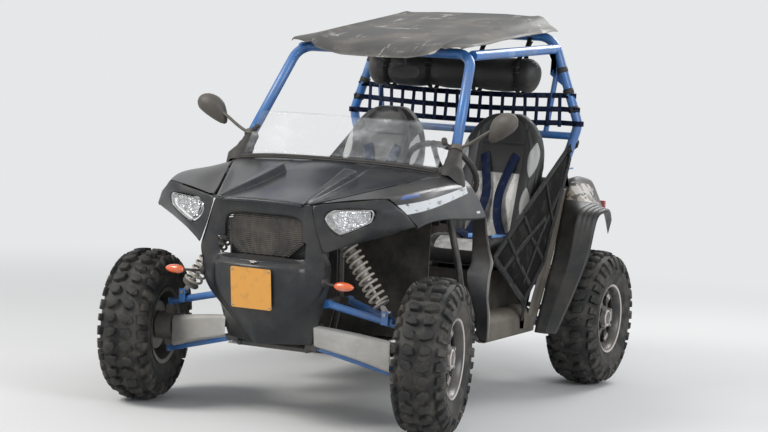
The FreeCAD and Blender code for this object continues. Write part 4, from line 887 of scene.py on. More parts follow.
form = bmesh.new()
face = outline_face(form, lamp_outline(-0.015, 8))
face = inset_steps(form, face, ((0.006, -0.010), (0.012, -0.012), (0.014, -0.004)))
bmesh.ops.poke(form, faces=[face])
turned_towards(form, (0, -1, 0))
for x, z, radius in ((352, 906, 19), (436, 921, 23)):
    bowl = bmesh.new()
    rings = [(radius, 0.0), (radius * 0.96, 9.0), (radius * 0.6, 16.0), (radius * 0.34, 18.0),
             (radius * 0.32, 8.0), (radius * 0.2, 4.0), (0.0, 3.0)]
    ring_z(bowl, [(r / 1000, h / 1000) for r, h in rings], 20)
    bowl.transform(Matrix.Translation(in_metres((x, lamp_y(x, z) + 9, z)))
                   @ Matrix.Rotation(math.pi / 2, 4, "X") @ Matrix.Rotation(math.pi, 4, "X"))
    turned_towards(bowl, (0, -1, 0))
    join_form(form, bowl)
panel("lamp_reflectors", mirror_form(form), [reflector], 0.002, 1, "lamp_glass")

form = bmesh.new()
outer = loop_edges(form, lamp_outline(0.075, -1))
middle = loop_edges(form, lamp_outline(0.03, -5))
inner = loop_edges(form, lamp_outline(-0.005, 2))
bmesh.ops.bridge_loops(form, edges=outer + middle)
bmesh.ops.bridge_loops(form, edges=middle + inner)
bmesh.ops.recalc_face_normals(form, faces=form.faces)
turned_towards(form, (0, -1, 0))
panel("lamp_bezels", mirror_form(form), [bezel_grey], 0.003, 2, "grey_plastic")

# %% [markdown]
# ## Nose and grille
# The nose is one moulding: a header over the grille, cheeks beside it and a V-shaped lower
# fascia that carries the plate. The grille opening is cut by deleting faces of the grid,
# and the rim of the hole is extruded back into the bay.

# %% Nose fascia
# height, middle y, then x and y of the panel's edge, the fold, the cheek and the rear edge
NOSE = ((962, -1243, 188, -1243, 206, -1244, 228, -1244, 227, -1224),
        (948, -1234, 188, -1236, 208, -1241, 236, -1245, 234, -1224),
        (900, -1230, 190, -1232, 212, -1240, 252, -1243, 250, -1220),
        (798, -1227, 184, -1229, 214, -1236, 284, -1238, 284, -1210),
        (757, -1227, 148, -1230, 210, -1234, 300, -1236, 300, -1206),
        (729, -1229, 112, -1234, 208, -1232, 301, -1228, 303, -1180),
        (712, -1290, 186, -1254, 214, -1234, 301, -1222, 303, -1166),
        (690, -1318, 198, -1270, 222, -1242, 299, -1214, 299, -1150),
        (624, -1309, 204, -1266, 232, -1236, 299, -1210, 291, -1140),
        (559, -1300, 188, -1260, 214, -1234, 263, -1206, 267, -1130),
        (507, -1293, 150, -1254, 166, -1238, 193, -1221, 257, -1125),
        (448, -1276, 96, -1246, 106, -1236, 123, -1226, 241, -1118),
        (390, -1250, 58, -1226, 64, -1220, 76, -1213, 228, -1113),
        (352, -1238, 42, -1216, 46, -1213, 52, -1208, 217, -1110))
rows = []
for z, middle_y, *pairs in NOSE:
    half = [(pairs[i], pairs[i + 1], z) for i in range(0, 8, 2)]
    mid = [(pairs[0] * 0.5, middle_y * 0.6 + pairs[1] * 0.4, z)]
    rows.append(full_row([(0, middle_y, z)] + mid + half))
form = grid_form(rows, (1, 5, 6, 7, 10), (1, 2, 3, 7, 8, 9), 0.8)
hole = [f for f in form.faces
        if abs(f.calc_center_median().x) < 0.19 and 0.73 < f.calc_center_median().z < 0.905]
bmesh.ops.delete(form, geom=hole, context="FACES")
rim_edges = [e for e in form.edges if e.is_boundary
             and all(abs(v.co.x) < 0.195 and 0.72 < v.co.z < 0.905 for v in e.verts)]
walls = bmesh.ops.extrude_edge_only(form, edges=rim_edges)["geom"]
bmesh.ops.translate(form, verts=only_verts(walls), vec=(0, 0.034, 0))
turned_towards(form, (0, -1, 0))
panel("nose_moulding", form, [fascia_plastic], 0.004, 2, "black_plastic", "nose_fascia")


# %% Grille of fine wavy bars
def bar_between(form, start, end, width, depth, material=0):
    """A square bar between two points, wide across and deep along Y, in millimetres."""
    start, end = in_metres(start), in_metres(end)
    run = end - start
    made = bmesh.ops.create_cube(form, size=1.0)["verts"]
    size = Matrix.Diagonal((width / 1000, depth / 1000, run.length, 1))
    bmesh.ops.transform(form, verts=made,
                        matrix=Matrix.Translation((start + end) / 2) @ turn_to(run) @ size)
    for face in {f for v in made for f in v.link_faces}:
        face.material_index = material


# the opening is this wide, and narrows below its knee; all in millimetres
GRILLE_Y, GRILLE_HALF, GRILLE_FOOT, GRILLE_KNEE, NARROWING = -1206, 188, 736, 796, 1.12
GRILLE_BARS, BAR_PITCH, BAR_STEPS = 21, 8.2, 16


def grille_half_at(z):
    return GRILLE_HALF if z > GRILLE_KNEE else GRILLE_HALF - (GRILLE_KNEE - z) * NARROWING


form = bmesh.new()
for step in range(GRILLE_BARS):
    z = GRILLE_FOOT + step * BAR_PITCH
    half = grille_half_at(z)
    points = [(-half + i * 2 * half / BAR_STEPS, GRILLE_Y, z + (2.0 if i % 2 else -2.0))
              for i in range(BAR_STEPS + 1)]
    for a, b in zip(points, points[1:]):
        bar_between(form, a, b, 3.2, 5)
for step in range(11):
    x = -160 + step * 32
    low = max(GRILLE_FOOT, GRILLE_KNEE - (GRILLE_HALF - abs(x)) / NARROWING)
    bar_between(form, (x, GRILLE_Y + 4, low), (x, GRILLE_Y + 4, 906), 3.0, 4)
grille_plastic = moulded_plastic("grille_plastic", (0.035, 0.033, 0.031), 0.5, 600, 0.5)
chassis_piece("mesh_grille", form, [grille_plastic], "black_plastic", "grille", smooth=False)

# %% Lip under the hood, latch bar and its catch
lip = full_row(((0, -1258, 964), (120, -1256, 962), (196, -1252, 957)))
rows = [[(x * s, y + dy, z + dz) for x, y, z in lip]
        for s, dy, dz in ((1.0, 10, 6), (1.0, 0, 4), (0.985, 0, -8), (0.97, 14, -12))]
lip_form = turned_towards(grid_form(rows, (1, 2), ()), (0, -1, 0))
panel("hood_lip", lip_form, [hood_plastic], 0.004, 2, "gloss_black")

rows = [full_row(half) for half in (((0, -1288, 718), (90, -1276, 716), (188, -1246, 716)),
                                    ((0, -1297, 711), (90, -1284, 709), (188, -1254, 710)),
                                    ((0, -1296, 702), (90, -1283, 701), (188, -1253, 702)))]
latch_form = turned_towards(grid_form(rows, (1,), ()), (0, -1, 0.4))
panel("latch_bar", latch_form, [hood_plastic], 0.005, 2, "black_plastic")
form = bmesh.new()
bar_between(form, (-17, -1300, 709), (17, -1300, 709), 7, 6)
bar_between(form, (-9, -1303, 704), (9, -1303, 704), 12, 3)
round_off(form, form.edges[:], 0.001, 1)
chassis_piece("latch_catch", form, [machined], "steel", smooth=False)

# %% [markdown]
# ## Half windshield
# A clear sheet with wiped haze stands on a rubber seal along the hood and is clamped to the
# pillars. The haze is what makes clear plastic visible, so its alpha follows cloudy noise.

# %% Windshield and seal
clear_sheet = Finish("hazed_clear_sheet", Roughness=0.12, Coat_Weight=1.0, Coat_Roughness=0.06)
cloud = clear_sheet.above(clear_sheet.noise(4.2, 6.0, (1, 1, 1.4), 0.6), 0.42, 0.72)
fine = clear_sheet.above(clear_sheet.noise(36.0, 6.0, (1, 1, 0.6)), 0.5, 0.7)
spots = clear_sheet.above(clear_sheet.noise(120.0, 2.0), 0.7, 0.76)
clear_sheet.wear(Base_Color=clear_sheet.blend(cloud, (0.55, 0.58, 0.6), (0.86, 0.87, 0.86)),
                 Roughness=0.1 + cloud * 0.4,
                 Alpha=0.05 + cloud * 0.2 + fine * cloud * 0.12 + spots * 0.25)
clear_sheet = clear_sheet.material
SHIELD = (((0, -589, 1134), (170, -588, 1133), (330, -584, 1129), (440, -575, 1120),
           (500, -566, 1112)),
          ((0, -488, 1230), (170, -487.5, 1230), (330, -485, 1229), (440, -480, 1226),
           (500, -476, 1224)),
          ((0, -388, 1327), (170, -388, 1327), (330, -390, 1327), (450, -395, 1327),
           (495, -398, 1324)))
rows = [full_row(row) for row in SHIELD]
form = turned_towards(grid_form(rows, (), ()), (0, -1, 0))
top_corners = [v for v in form.verts if v.co.z > 1.32 and abs(v.co.x) > 0.49]
round_off(form, top_corners, 0.022, 3, "VERTICES")
panel("clear_windshield", form, [clear_sheet], 0.0045, 1, "clear_sheet", "windshield")


def tube_form(points, radius, cyclic=False, smooth=True, sides=3, material=0):
    """A round tube along points in millimetres, with closed ends."""
    line = bpy.data.curves.new("line", "CURVE")
    line.dimensions, line.bevel_depth, line.bevel_resolution = "3D", radius / 1000, sides
    line.use_fill_caps = True
    spline = line.splines.new("NURBS" if smooth else "POLY")
    spline.points.add(len(points) - 1)
    for point, place in zip(spline.points, points):
        point.co = (*in_metres(place), 1)
    if smooth:
        spline.order_u, spline.use_endpoint_u, spline.resolution_u = 3, True, 6
    spline.use_cyclic_u = cyclic
    holder = bpy.data.objects.new("line", line)
    mesh = bpy.data.meshes.new_from_object(holder)
    form = bmesh.new()
    form.from_mesh(mesh)
    paint_faces(weld(form), material)
    bpy.data.objects.remove(holder)
    bpy.data.curves.remove(line)
    bpy.data.meshes.remove(mesh)
    return form


def bent_line(points, bend, steps=7):
    """Straight runs joined by arcs, as a tube bender makes them; distances in millimetres."""
    line = [Vector(points[0])]
    for before, corner, after in zip(points, points[1:], points[2:]):
        corner = Vector(corner)
        back, ahead = (Vector(before) - corner).normalized(), (Vector(after) - corner).normalized()
        half = back.angle(ahead) / 2
        reach = bend / math.tan(half)
        centre = corner + (back + ahead).normalized() * (bend / math.sin(half))
        start = (corner + back * reach - centre).normalized()
        end = (corner + ahead * reach - centre).normalized()
        for step in range(steps + 1):
            line.append(centre + start.slerp(end, step / steps) * bend)
    line.append(Vector(points[-1]))
    return line


seal = full_row(((0, -595, 1130), (170, -594, 1129), (330, -590, 1125), (440, -580, 1116),
                 (500, -572, 1109)))
form = tube_form(seal, 7.5)
join_form(form, tube_form([(x, y - 9, z - 8) for x, y, z in seal], 5))
chassis_piece("windshield_seal", form, [rubber], "black_rubber")

# %% [markdown]
# ## Roll cage
# The cage is bent from round tube, in a bright blue that is rubbed pale on the pillars. The
# bends are true arcs, so the tubes follow straight runs and arcs rather than a free curve.

# %% Cage tubes
TOP = (449, -137, 1634)
CAGE_RADIUS = 24
START = (539, -489.5, 1124.5)  # inside the rubber boot
front_line = bent_line([START, TOP, (-TOP[0], *TOP[1:]), (-START[0], *START[1:])], 85)
form = tube_form(front_line, CAGE_RADIUS, smooth=False, sides=6)
chassis_piece("front_cage_hoop", form, [blue_paint], "blue_paint", "cage_front_hoop")


HOOP_FOOT, HOOP_KNEE, HOOP_TOP = (565, 850, 1098), (630, 850, 1315), (478, 828, 1750)


def hoop_x(z):
    """Half the width of the rear hoop at a height above its knees."""
    share = (z - HOOP_KNEE[2]) / (HOOP_TOP[2] - HOOP_KNEE[2])
    return HOOP_KNEE[0] + share * (HOOP_TOP[0] - HOOP_KNEE[0])


def pillar_turn(side):
    """The turn from upright to the lean of the cage's front pillar."""
    return turn_to(Vector((side * 0.449, -0.137, 1.634)) - Vector((side * 0.545, -0.512, 1.092)))


def gusset_form(corners):
    """A flat plate with its corners at points in millimetres."""
    form = bmesh.new()
    outline_face(form, corners)
    return give_wall(form, 0.006)


half = [HOOP_FOOT, HOOP_KNEE, HOOP_TOP]
form = tube_form(bent_line(half + [(-x, y, z) for x, y, z in reversed(half)], 110), CAGE_RADIUS,
                 smooth=False, sides=6)
bar_x = hoop_x(1257) - 20
join_form(form, tube_form([(-bar_x, 850, 1257), (bar_x, 850, 1257)], 19, smooth=False, sides=5))
for s in SIDES:
    join_form(form, tube_form([(s * (hoop_x(1640) - 10), 850, 1640),
                               (s * (hoop_x(1640) - 60), 850, 1257)],
                              14, smooth=False, sides=4))
    # foot plate
    join_form(form, block_form((s * 0.565, 0.85, 1.094), (0.076, 0.09, 0.008), 0.0015, 1))
chassis_piece("rear_cage_hoop", form, [blue_paint], "blue_paint", "cage_rear_hoop", sharp=40)

RAIL_START, RAIL_END = Vector((445, -123, 1628)), Vector((hoop_x(1690), 832, 1690))
form = bmesh.new()
for s in SIDES:
    a, b = RAIL_START, RAIL_END
    join_form(form, tube_form([(s * a.x, a.y + 6, a.z), (s * b.x, b.y, b.z)], CAGE_RADIUS,
                              smooth=False, sides=6))
    corners = [(s * (b.x + 3), b.y - back, b.z - down)
               for back, down in ((8, 16), (128, 20), (70, 62), (8, 146))]
    join_form(form, gusset_form(corners))
chassis_piece("cage_roof_rails", form, [blue_paint], "blue_paint", "cage_side_rails", sharp=40)

# %% Rubber boots at the pillars' feet
form = bmesh.new()
for s in SIDES:
    boot = bmesh.new()
    rings = ((0.066, 0.0), (0.060, 0.012), (0.050, 0.040), (0.0415, 0.060), (0.0385, 0.085),
             (0.034, 0.100), (0.031, 0.150), (0.0285, 0.156), (0.025, 0.158))
    ring_z(boot, rings, 32)
    sole = [v for v in boot.verts if v.co.z < 0.001]
    foot = Vector((s * 0.5425, -0.512, 1.082))
    boot.transform(Matrix.Translation(foot) @ pillar_turn(s))
    for vert in boot.verts:
        lowest = 1.09 - 0.8 * max(abs(vert.co.x) - 0.553, 0) - 0.06 * (vert.co.y + 0.512)
        vert.co.z = lowest if vert in sole else max(vert.co.z, lowest + 0.004)
    join_form(form, boot)
    knob = bmesh.new()
    ring_z(knob, [(0, 0), (0.011, 0), (0.013, 0.004), (0.013, 0.012), (0.010, 0.015),
                  (0, 0.015)], 12)
    for place in ((s * 0.478, -0.455, 1.243), (s * 0.486, -0.466, 1.232)):
        twin = knob.copy()
        twin.transform(Matrix.Translation(place) @ Matrix.Rotation(math.pi / 2, 4, "X"))
        join_form(form, twin)
    knob.free()
chassis_piece("pillar_boots_and_clamps", form, [rubber], "black_rubber", sharp=50)

# %% [markdown]
# ## Roof sheet
# The roof is a weathered black sheet, scratched almost white in places, that droops in a lip
# at the front. Its outline is soft and a little uneven, like a sheet that has been cut by
# hand and has warped in the sun.

# %% Roof
roof_scratch = Finish("weathered_roof_sheet", Specular_IOR_Level=0.4)
broad = roof_scratch.noise(2.2, 5.0)
streak = roof_scratch.above(roof_scratch.noise(26.0, 5.0, (1.0, 0.12, 0.4), 0.7), 0.6, 0.68)
worn = roof_scratch.above(roof_scratch.noise(7.0, 7.0, (0.6, 1.4, 1), 0.7), 0.6, 0.66)
pale = (streak * 0.75 + worn * 0.9) * roof_scratch.above(broad, 0.4, 0.6)
base = roof_scratch.blend(broad, (0.035, 0.034, 0.033), (0.085, 0.082, 0.078))
film = roof_scratch.above(roof_scratch.noise(5.0, 8.0), 0.4, 0.7) * 0.3
dusted = roof_scratch.blend(film, base, PALE_DUST)
relief = roof_scratch.noise(180.0, 3.0) + pale * 0.5
roof_scratch.wear(Base_Color=roof_scratch.blend(pale * 0.75, dusted, (0.62, 0.61, 0.58)),
                  Roughness=0.48 + film * 0.6, Normal=roof_scratch.bump(relief, 0.2, 0.0008))
roof_scratch = roof_scratch.material
# y, half width, edge height, ridge height, middle height
ROOF = ((-243, 440, 1662, 1655, 1598), (-228, 452, 1670, 1668, 1616),
        (-160, 464, 1679, 1690, 1662),
        (20, 470, 1696, 1722, 1706), (150, 474, 1717, 1742, 1731), (520, 481, 1757, 1798, 1792),
        (820, 487, 1789, 1842, 1840), (885, 482, 1788, 1855, 1857))
rows = []
for y, half, edge, ridge, middle in ROOF:
    wave = 3 * math.sin(y * 0.021)
    columns = ((half, edge - 10), (half - 8, edge + 1),
               (half * 0.9, edge + (ridge - edge) * 0.4 + wave),
               (half * 0.82, ridge - 4), (half * 0.76, ridge + 2),
               (half * 0.7, middle + (ridge - middle) * 0.6 - 4),
               (half * 0.4, middle + 2), (0, middle))
    left = [(x, y + (4 * math.sin(x * 0.03) if y < -200 else 0), z) for x, z in columns]
    rows.append([(-x, y2, z - (5 if y > 500 else 0)) for x, y2, z in left[:-1]] + left[::-1])
form = turned_towards(grid_form(rows, (), (1, 4, 10, 13), 0.6), (0, 0, 1))
panel("roof_sheet", form, [roof_scratch], 0.004, 3, "roof_sheet", "roof_panel")

# %% [markdown]
# ## Mudguards, rear fenders and sills
# Behind each wheel hangs a dark mudguard with a rolled pale edge. The rear fender wraps
# round the wheel and swells into a flare with three moulded ribs. All are grids on
# measured points, with the ribs added as extra rows.

# %% Mudguards behind the front wheels
# columns: height, then y at the inner edge, the middle, the fold and the rolled edge
GUARD_X = (562, 604, 640, 650)
MUDGUARD = ((907, -300, -318, -330, -334), (780, -276, -290, -294, -297),
            (690, -272, -240, -214, -211), (650, -318, -285, -238, -236),
            (613, -318, -290, -250, -247), (525, -258, -262, -257, -255),
            (452, -200, -205, -218, -219), (322, -160, -190, -224, -226))
form = grid_form([[(x, y, z) for x, y in zip(GUARD_X, places)] for z, *places in MUDGUARD], (),
                 (2,), 0.9)
for face in form.faces:
    face.material_index = int(face.calc_center_median().x > 0.641)
turned_towards(form, (0, -1, 0.3))
edge_grey = moulded_plastic("rolled_edge_grey", (0.2, 0.195, 0.185), 0.5, 500, 0.4)
panel("front_mudguards", mirror_form(form), [guard_plastic, edge_grey], 0.005, 2, "black_plastic")

# %% Rear fenders with ribbed flares
fender_side = Finish("rear_fender_plastic", Specular_IOR_Level=0.45)
y, z = fender_side.axis("Y"), fender_side.axis("Z")
# a worn white and beige band lies on the side wall
x = fender_side.add("ShaderNodeMath", {"operation": "ABSOLUTE"}, {0: fender_side.axis("X")})
band_line = z + y * 0.1
stripe = (fender_side.above(band_line, 1.018, 1.022)
          * fender_side.above(1.118 - band_line, 0, 0.004)
          * fender_side.above(y, 0.76, 0.77) * fender_side.above(1.12 - y, 0.0, 0.01)
          * fender_side.above(x, 0.60, 0.61))
torn = fender_side.above(fender_side.noise(22.0, 5.0, (1, 0.6, 1), 0.7), 0.44, 0.5)
patchy = fender_side.above(fender_side.noise(14.0, 2.0), 0.5, 0.53)
tone = fender_side.blend(patchy, (0.5, 0.48, 0.44), (0.24, 0.2, 0.15))
base = fender_side.blend(stripe * torn, (0.012, 0.013, 0.014), tone)
film = fender_side.dusty(base, 0.14, 0.45)
grain = fender_side.noise(800.0, 3.0)
fender_side.wear(Normal=fender_side.bump(grain + film * 0.4, 0.15, 0.0006))
fender_side = fender_side.material

# columns: inboard edge, shoulder, foot of the side wall, lip and edge of the flare
FLARE = (((590, 505, 292), (604, 500, 292), (648, 507, 290), (692, 526, 290), (700, 534, 291)),
         ((590, 548, 370), (604, 542, 370), (654, 549, 370), (710, 568, 370), (718, 576, 371)),
         ((590, 590, 450), (605, 584, 450), (664, 590, 450), (729, 606, 450), (737, 614, 451)),
         ((590, 700, 640), (611, 690, 640), (688, 696, 645), (766, 728, 658), (774, 735, 660)),
         ((590, 750, 770), (615, 735, 775), (694, 712, 790), (776, 740, 770), (784, 748, 766)),
         ((590, 792, 884), (618, 768, 890), (698, 724, 893), (786, 768, 886), (793, 775, 876)),
         ((540, 880, 1000), (608, 836, 1000), (703, 830, 913), (797, 850, 900), (803, 856, 886)),
         ((508, 905, 1019), (610, 898, 1056), (706, 905, 927), (799, 905, 902), (805, 908, 887)),
         ((507, 960, 1019), (612, 960, 1056), (700, 965, 925), (789, 966, 892), (795, 968, 876)),
         ((507, 1050, 1019), (612, 1050, 1045), (682, 1060, 917), (754, 1068, 873),
          (760, 1071, 859)),
         ((507, 1140, 1019), (610, 1140, 1033), (668, 1145, 912), (730, 1155, 845),
          (736, 1158, 828)),
         ((507, 1230, 1019), (603, 1205, 1018), (652, 1212, 903), (700, 1228, 814),
          (705, 1231, 799)),
         ((507, 1318, 968), (598, 1318, 932), (638, 1319, 858), (661, 1318, 752),
          (665, 1317, 738)))
ribbed = []
for row in FLARE:
    root, shoulder, mid, lip, edge = (Vector(p) for p in row)
    swell = 1.0 if row[2][2] > 885 else 0.0
    line = [root, shoulder, shoulder.lerp(mid, 1 / 3), shoulder.lerp(mid, 2 / 3), mid]
    for step in range(1, 8):
        rib = (5.0 if step % 2 else -4.0) * swell
        line.append(mid.lerp(lip, step / 8) + Vector((0.3, -0.2, 0.93)) * rib)
    ribbed.append(line + [lip, edge])
form = turned_towards(grid_form(ribbed, (), (1, 4, 12), 0.7), (0.6, 0, 1))
panel("rear_fender_flares", mirror_form(form), [fender_side], 0.005, 2,
      "black_plastic", "rear_fenders")

# %% Cargo box with ribbed floor and rim
form = bmesh.new()
box_low, box_high = Vector((-0.505, 0.905, 0.866)), Vector((0.505, 1.322, 1.016))
made = bmesh.ops.create_cube(form, size=1.0)["verts"]
bmesh.ops.transform(form, verts=made, matrix=Matrix.Translation((box_low + box_high) / 2)
                    @ Matrix.Diagonal((*(box_high - box_low), 1)))
top = [f for f in form.faces if f.normal.z > 0.9]
bmesh.ops.inset_region(form, faces=top, thickness=0.018)
bmesh.ops.translate(form, verts=top[0].verts[:], vec=(0, 0, -0.010))
bmesh.ops.inset_region(form, faces=top, thickness=0.004)
bmesh.ops.translate(form, verts=top[0].verts[:], vec=(0, 0, -0.128))
round_off(form, form.edges[:], 0.004, 2)
for step in range(9):
    x = (-0.4 + step * 0.1) * 1000
    bar_between(form, (x, 935, 880), (x, 1290, 880), 26, 8)
for s in SIDES:
    for y in (960, 1060, 1160, 1260):
        bar_between(form, (s * 508, y, 880), (s * 508, y, 990), 14, 10)
for x in (-300, -100, 100, 300):
    bar_between(form, (x, 1325, 880), (x, 1325, 990), 10, 14)
chassis_piece("ribbed_cargo_box", form, [guard_plastic], "black_plastic", "cargo_box", sharp=35)

# %% Sill tubes and rocker panels
form = bmesh.new()
for s in SIDES:
    join_form(form, tube_form([(s * 572, 516, 330), (s * 572, 842, 1088)], 16,
                              smooth=False, sides=5))
    inner = [(s * 522, 500, 330), (s * 545, 790, 1040), (s * 571, 832, 1041)]
    join_form(form, tube_form(inner, 13, smooth=False, sides=4, material=1))
slate_tube = powder_coat("slate_tube_paint", (0.05, 0.065, 0.09), (0.16, 0.18, 0.2), 0.45)
chassis_piece("sill_side_tubes", form, [dusty_tube, slate_tube], "dusty_tube",
              "sill_tubes", sharp=50)

# height, y of the front and rear edge of the dusty wall ahead of the rear fender
SIDE_WALL = ((335, 385, 513), (450, 440, 593), (640, 566, 703), (770, 652, 755), (884, 706, 796),
             (1000, 766, 844))
rows = [[(x, front + share * (rear - front), z) for x, share in
         ((590, 0), (599, 0.12), (600, 0.3), (592, 0.44), (599, 0.58), (600, 0.8), (591, 1))]
        for z, front, rear in SIDE_WALL]
form = turned_towards(grid_form(rows, (3,), ()), (1, 0, 0))
panel("cab_side_walls", mirror_form(form), [sill_plastic], 0.003, 1, "dusty_plastic")

section = ((480.6, 335), (520, 318), (558, 302), (590, 303), (600, 308), (602, 330),
           (600, 360), (592, 392),
           (572, 412), (550, 424), (520, 427), (480.6, 427))
rows = []
for y in (-118, -100, 80, 180, 300, 420, 468, 480):
    dip = -3 if y in (80, 300) else 0
    drawn_in = 2 if y in (-118, 480) else 0
    rows.append([(x - drawn_in, y, z + (dip if z > 400 else 0)) for x, z in section])
form = turned_towards(grid_form(rows, (0, 7), (2, 4, 7), 0.6), (1, 0, 0))
panel("rocker_mouldings", mirror_form(form), [sill_plastic], 0.005, 2, "dusty_plastic",
      "rocker_panels")

# %% [markdown]
# ## Arm guards, mirrors and lamps on stalks
# Pale aluminium guards with one long fold protect the lower arms. Teardrop mirrors stand on
# tapered stalks, and orange ovals on thin stalks are the indicators.

# %% Arm guards
form = grid_form([[(212, -1126, 447), (300, -1094, 437), (400, -1066, 424), (480, -1046, 412),
                   (542, -1032, 402)],
                  [(212, -1137, 435), (300, -1108, 424), (400, -1084, 410), (480, -1062, 396),
                   (542, -1044, 384)],
                  [(214, -1134, 396), (300, -1107, 380), (400, -1082, 362), (480, -1060, 344),
                   (542, -1042, 328)],
                  [(216, -1130, 356), (300, -1102, 336), (400, -1078, 312), (480, -1058, 288),
                   (542, -1040, 268)],
                  [(218, -1094, 344), (300, -1068, 324), (400, -1044, 300), (480, -1026, 276),
                   (542, -1014, 257)]],
                 (1, 3), (), 0.85)
turned_towards(form, (0, -1, 0))
panel("folded_arm_guards", mirror_form(form), [guard_metal], 0.0035, 2,
      "guard_aluminium", "arm_guards")

# %% Mirrors
mirror_glass = Finish("mirror_glass", Base_Color=(0.6, 0.62, 0.64), Metallic=1.0)
mirror_glass.wear(Roughness=0.06 + mirror_glass.above(mirror_glass.noise(30.0, 6.0),
                                                      0.5, 0.8) * 0.3)
MIRROR_TURN = (Matrix.Rotation(math.radians(-14), 4, "Z")
               @ Matrix.Rotation(math.radians(-24), 4, "Y"))
form = bmesh.new()
for s in SIDES:
    head = bmesh.new()
    bmesh.ops.create_icosphere(head, subdivisions=3, radius=1.0)
    for vert in head.verts:
        x, y, z = vert.co
        taper = 1 - 0.35 * max(-x * 0.6 - z * 0.7, 0) ** 1.5
        vert.co = Vector((x * 0.073, y * 0.042 * taper, z * 0.052 * taper))
        vert.co.y = min(vert.co.y, 0.016)
        vert.co += Vector((-0.055, 0, -0.035)) * max(-x * 0.65 - z * 0.6, 0) ** 2.2
    head.transform(MIRROR_TURN)
    head.transform(Matrix.Translation((0.750, -0.430, 1.328)))
    stalk = tube_form([(528, -436, 1204), (552, -434, 1216), (600, -431, 1240),
                       (660, -430, 1282), (704, -428, 1308)], 7.5)
    join_form(head, stalk)
    clamp = bmesh.new()
    ring_z(clamp, [(0.0245, -0.012), (0.031, -0.012), (0.033, -0.006), (0.033, 0.006),
                   (0.031, 0.012), (0.0245, 0.012)], 24)
    clamp.transform(Matrix.Translation((0.525, -0.434, 1.205)) @ pillar_turn(1))
    join_form(head, clamp)
    glass = bmesh.new()
    bmesh.ops.create_circle(glass, cap_ends=True, segments=28, radius=1.0)
    bmesh.ops.transform(glass, verts=glass.verts,
                        matrix=Matrix.Translation((0.753, -0.4125, 1.330))
                        @ MIRROR_TURN @ Matrix.Rotation(-math.pi / 2, 4, "X")
                        @ Matrix.Diagonal((0.060, 0.036, 1, 1)))
    join_form(head, paint_faces(glass, 1))
    join_form(form, on_side(head, s))
chassis_piece("teardrop_mirrors", form, [mirror_plastic, mirror_glass.material], "grey_plastic",
              "mirrors", sharp=50)

# %% Mirror under the front hoop
form = bmesh.new()
bmesh.ops.create_cube(form, size=1.0)
bmesh.ops.transform(form, verts=form.verts, matrix=Matrix.Translation((0.108, -0.118, 1.538))
                    @ Matrix.Rotation(math.radians(8), 4, "X")
                    @ Matrix.Diagonal((0.13, 0.016, 0.056, 1)))
corner_edges = [e for e in form.edges
                if abs((e.verts[0].co - e.verts[1].co).normalized().y) > 0.9]
round_off(form, corner_edges, 0.024, 6)
join_form(form, tube_form([(106, -130, 1616), (106, -122, 1590), (107, -120, 1560)], 6))
chassis_piece("cab_mirror", form, [rubber], "black_plastic", sharp=40)


# %% Indicators, tail lamps and the blank plate
def lens_finish(name, color, deep):
    lens = Finish(name, Roughness=0.18, Coat_Weight=0.8, Coat_Roughness=0.1)
    ribs = lens.add("ShaderNodeTexWave", {"wave_type": "BANDS", "bands_direction": "X"},
                    {"Vector": lens.place, "Scale": 40.0}, output="Fac")
    film = lens.above(lens.noise(30.0, 6.0), 0.5, 0.75)
    lens.wear(Base_Color=lens.blend(film * 0.4, lens.blend(ribs * 0.5, color, deep), PALE_DUST),
              Normal=lens.bump(ribs, 0.3, 0.001))
    return lens.material


orange_lens = lens_finish("orange_lens", (0.78, 0.15, 0.04), (0.5, 0.06, 0.015))
red_lens = lens_finish("red_lens", (0.5, 0.02, 0.02), (0.25, 0.01, 0.01))
form = bmesh.new()
for s in SIDES:
    unit = bmesh.new()
    bmesh.ops.create_uvsphere(unit, u_segments=28, v_segments=16, radius=1.0)
    for vert in unit.verts:
        vert.co.x *= 0.048 - (0.010 if vert.co.x < 0 else 0) + (0.006 if vert.co.x > 0 else 0)
        vert.co.y *= 0.021
        vert.co.z *= 0.0195
    bmesh.ops.translate(unit, verts=unit.verts, vec=(0.402, -1.254, 0.637))
    paint_faces(unit, 1)
    join_form(unit, tube_form([(256, -1180, 637), (296, -1206, 637), (335, -1232, 637),
                               (370, -1250, 637)], 5.5))
    base = bmesh.new()
    ring_z(base, [(0, -0.006), (0.019, -0.006), (0.020, 0.0), (0.013, 0.008), (0.006, 0.012),
                  (0, 0.012)], 20)
    base.transform(Matrix.Translation((0.298, -1.206, 0.637)) @ turn_to((0.8, -0.55, 0)))
    join_form(unit, base)
    join_form(form, on_side(unit, s))
chassis_piece("stalk_indicators", form, [rubber, orange_lens], "orange_lens",
              "indicators", sharp=60)

form = bmesh.new()
for s in SIDES:
    join_form(form, block_form((s * 0.605, 1.3285, 0.8875), (0.06, 0.015, 0.055), 0.004, 3))
chassis_piece("tail_lamp_lenses", form, [red_lens], "red_lens", "tail_lamps")

plate_finish = Finish("blank_plate_enamel", Coat_Weight=0.2, Coat_Roughness=0.3)
grime = plate_finish.above(plate_finish.noise(26.0, 8.0), 0.5, 0.72)
plate_finish.wear(Base_Color=plate_finish.blend(grime * 0.35, (0.72, 0.335, 0.06),
                                                (0.34, 0.2, 0.08)),
                  Roughness=0.4 + grime * 0.3, Normal=plate_finish.bump(grime, 0.1, 0.0005))
PLATE_TOP, PLATE_FOOT = Vector((0, -1322, 683)), Vector((0, -1297.5, 508))
PLATE_OUT = (0, -0.99, -0.139)  # off the plate's face


def plate_point(x, share, lift=0.0):
    """A point of the plate: across it, down it from 0 to 1, and off its face."""
    at = PLATE_TOP.lerp(PLATE_FOOT, share)
    return at + Vector((x, PLATE_OUT[1] * lift, PLATE_OUT[2] * lift))


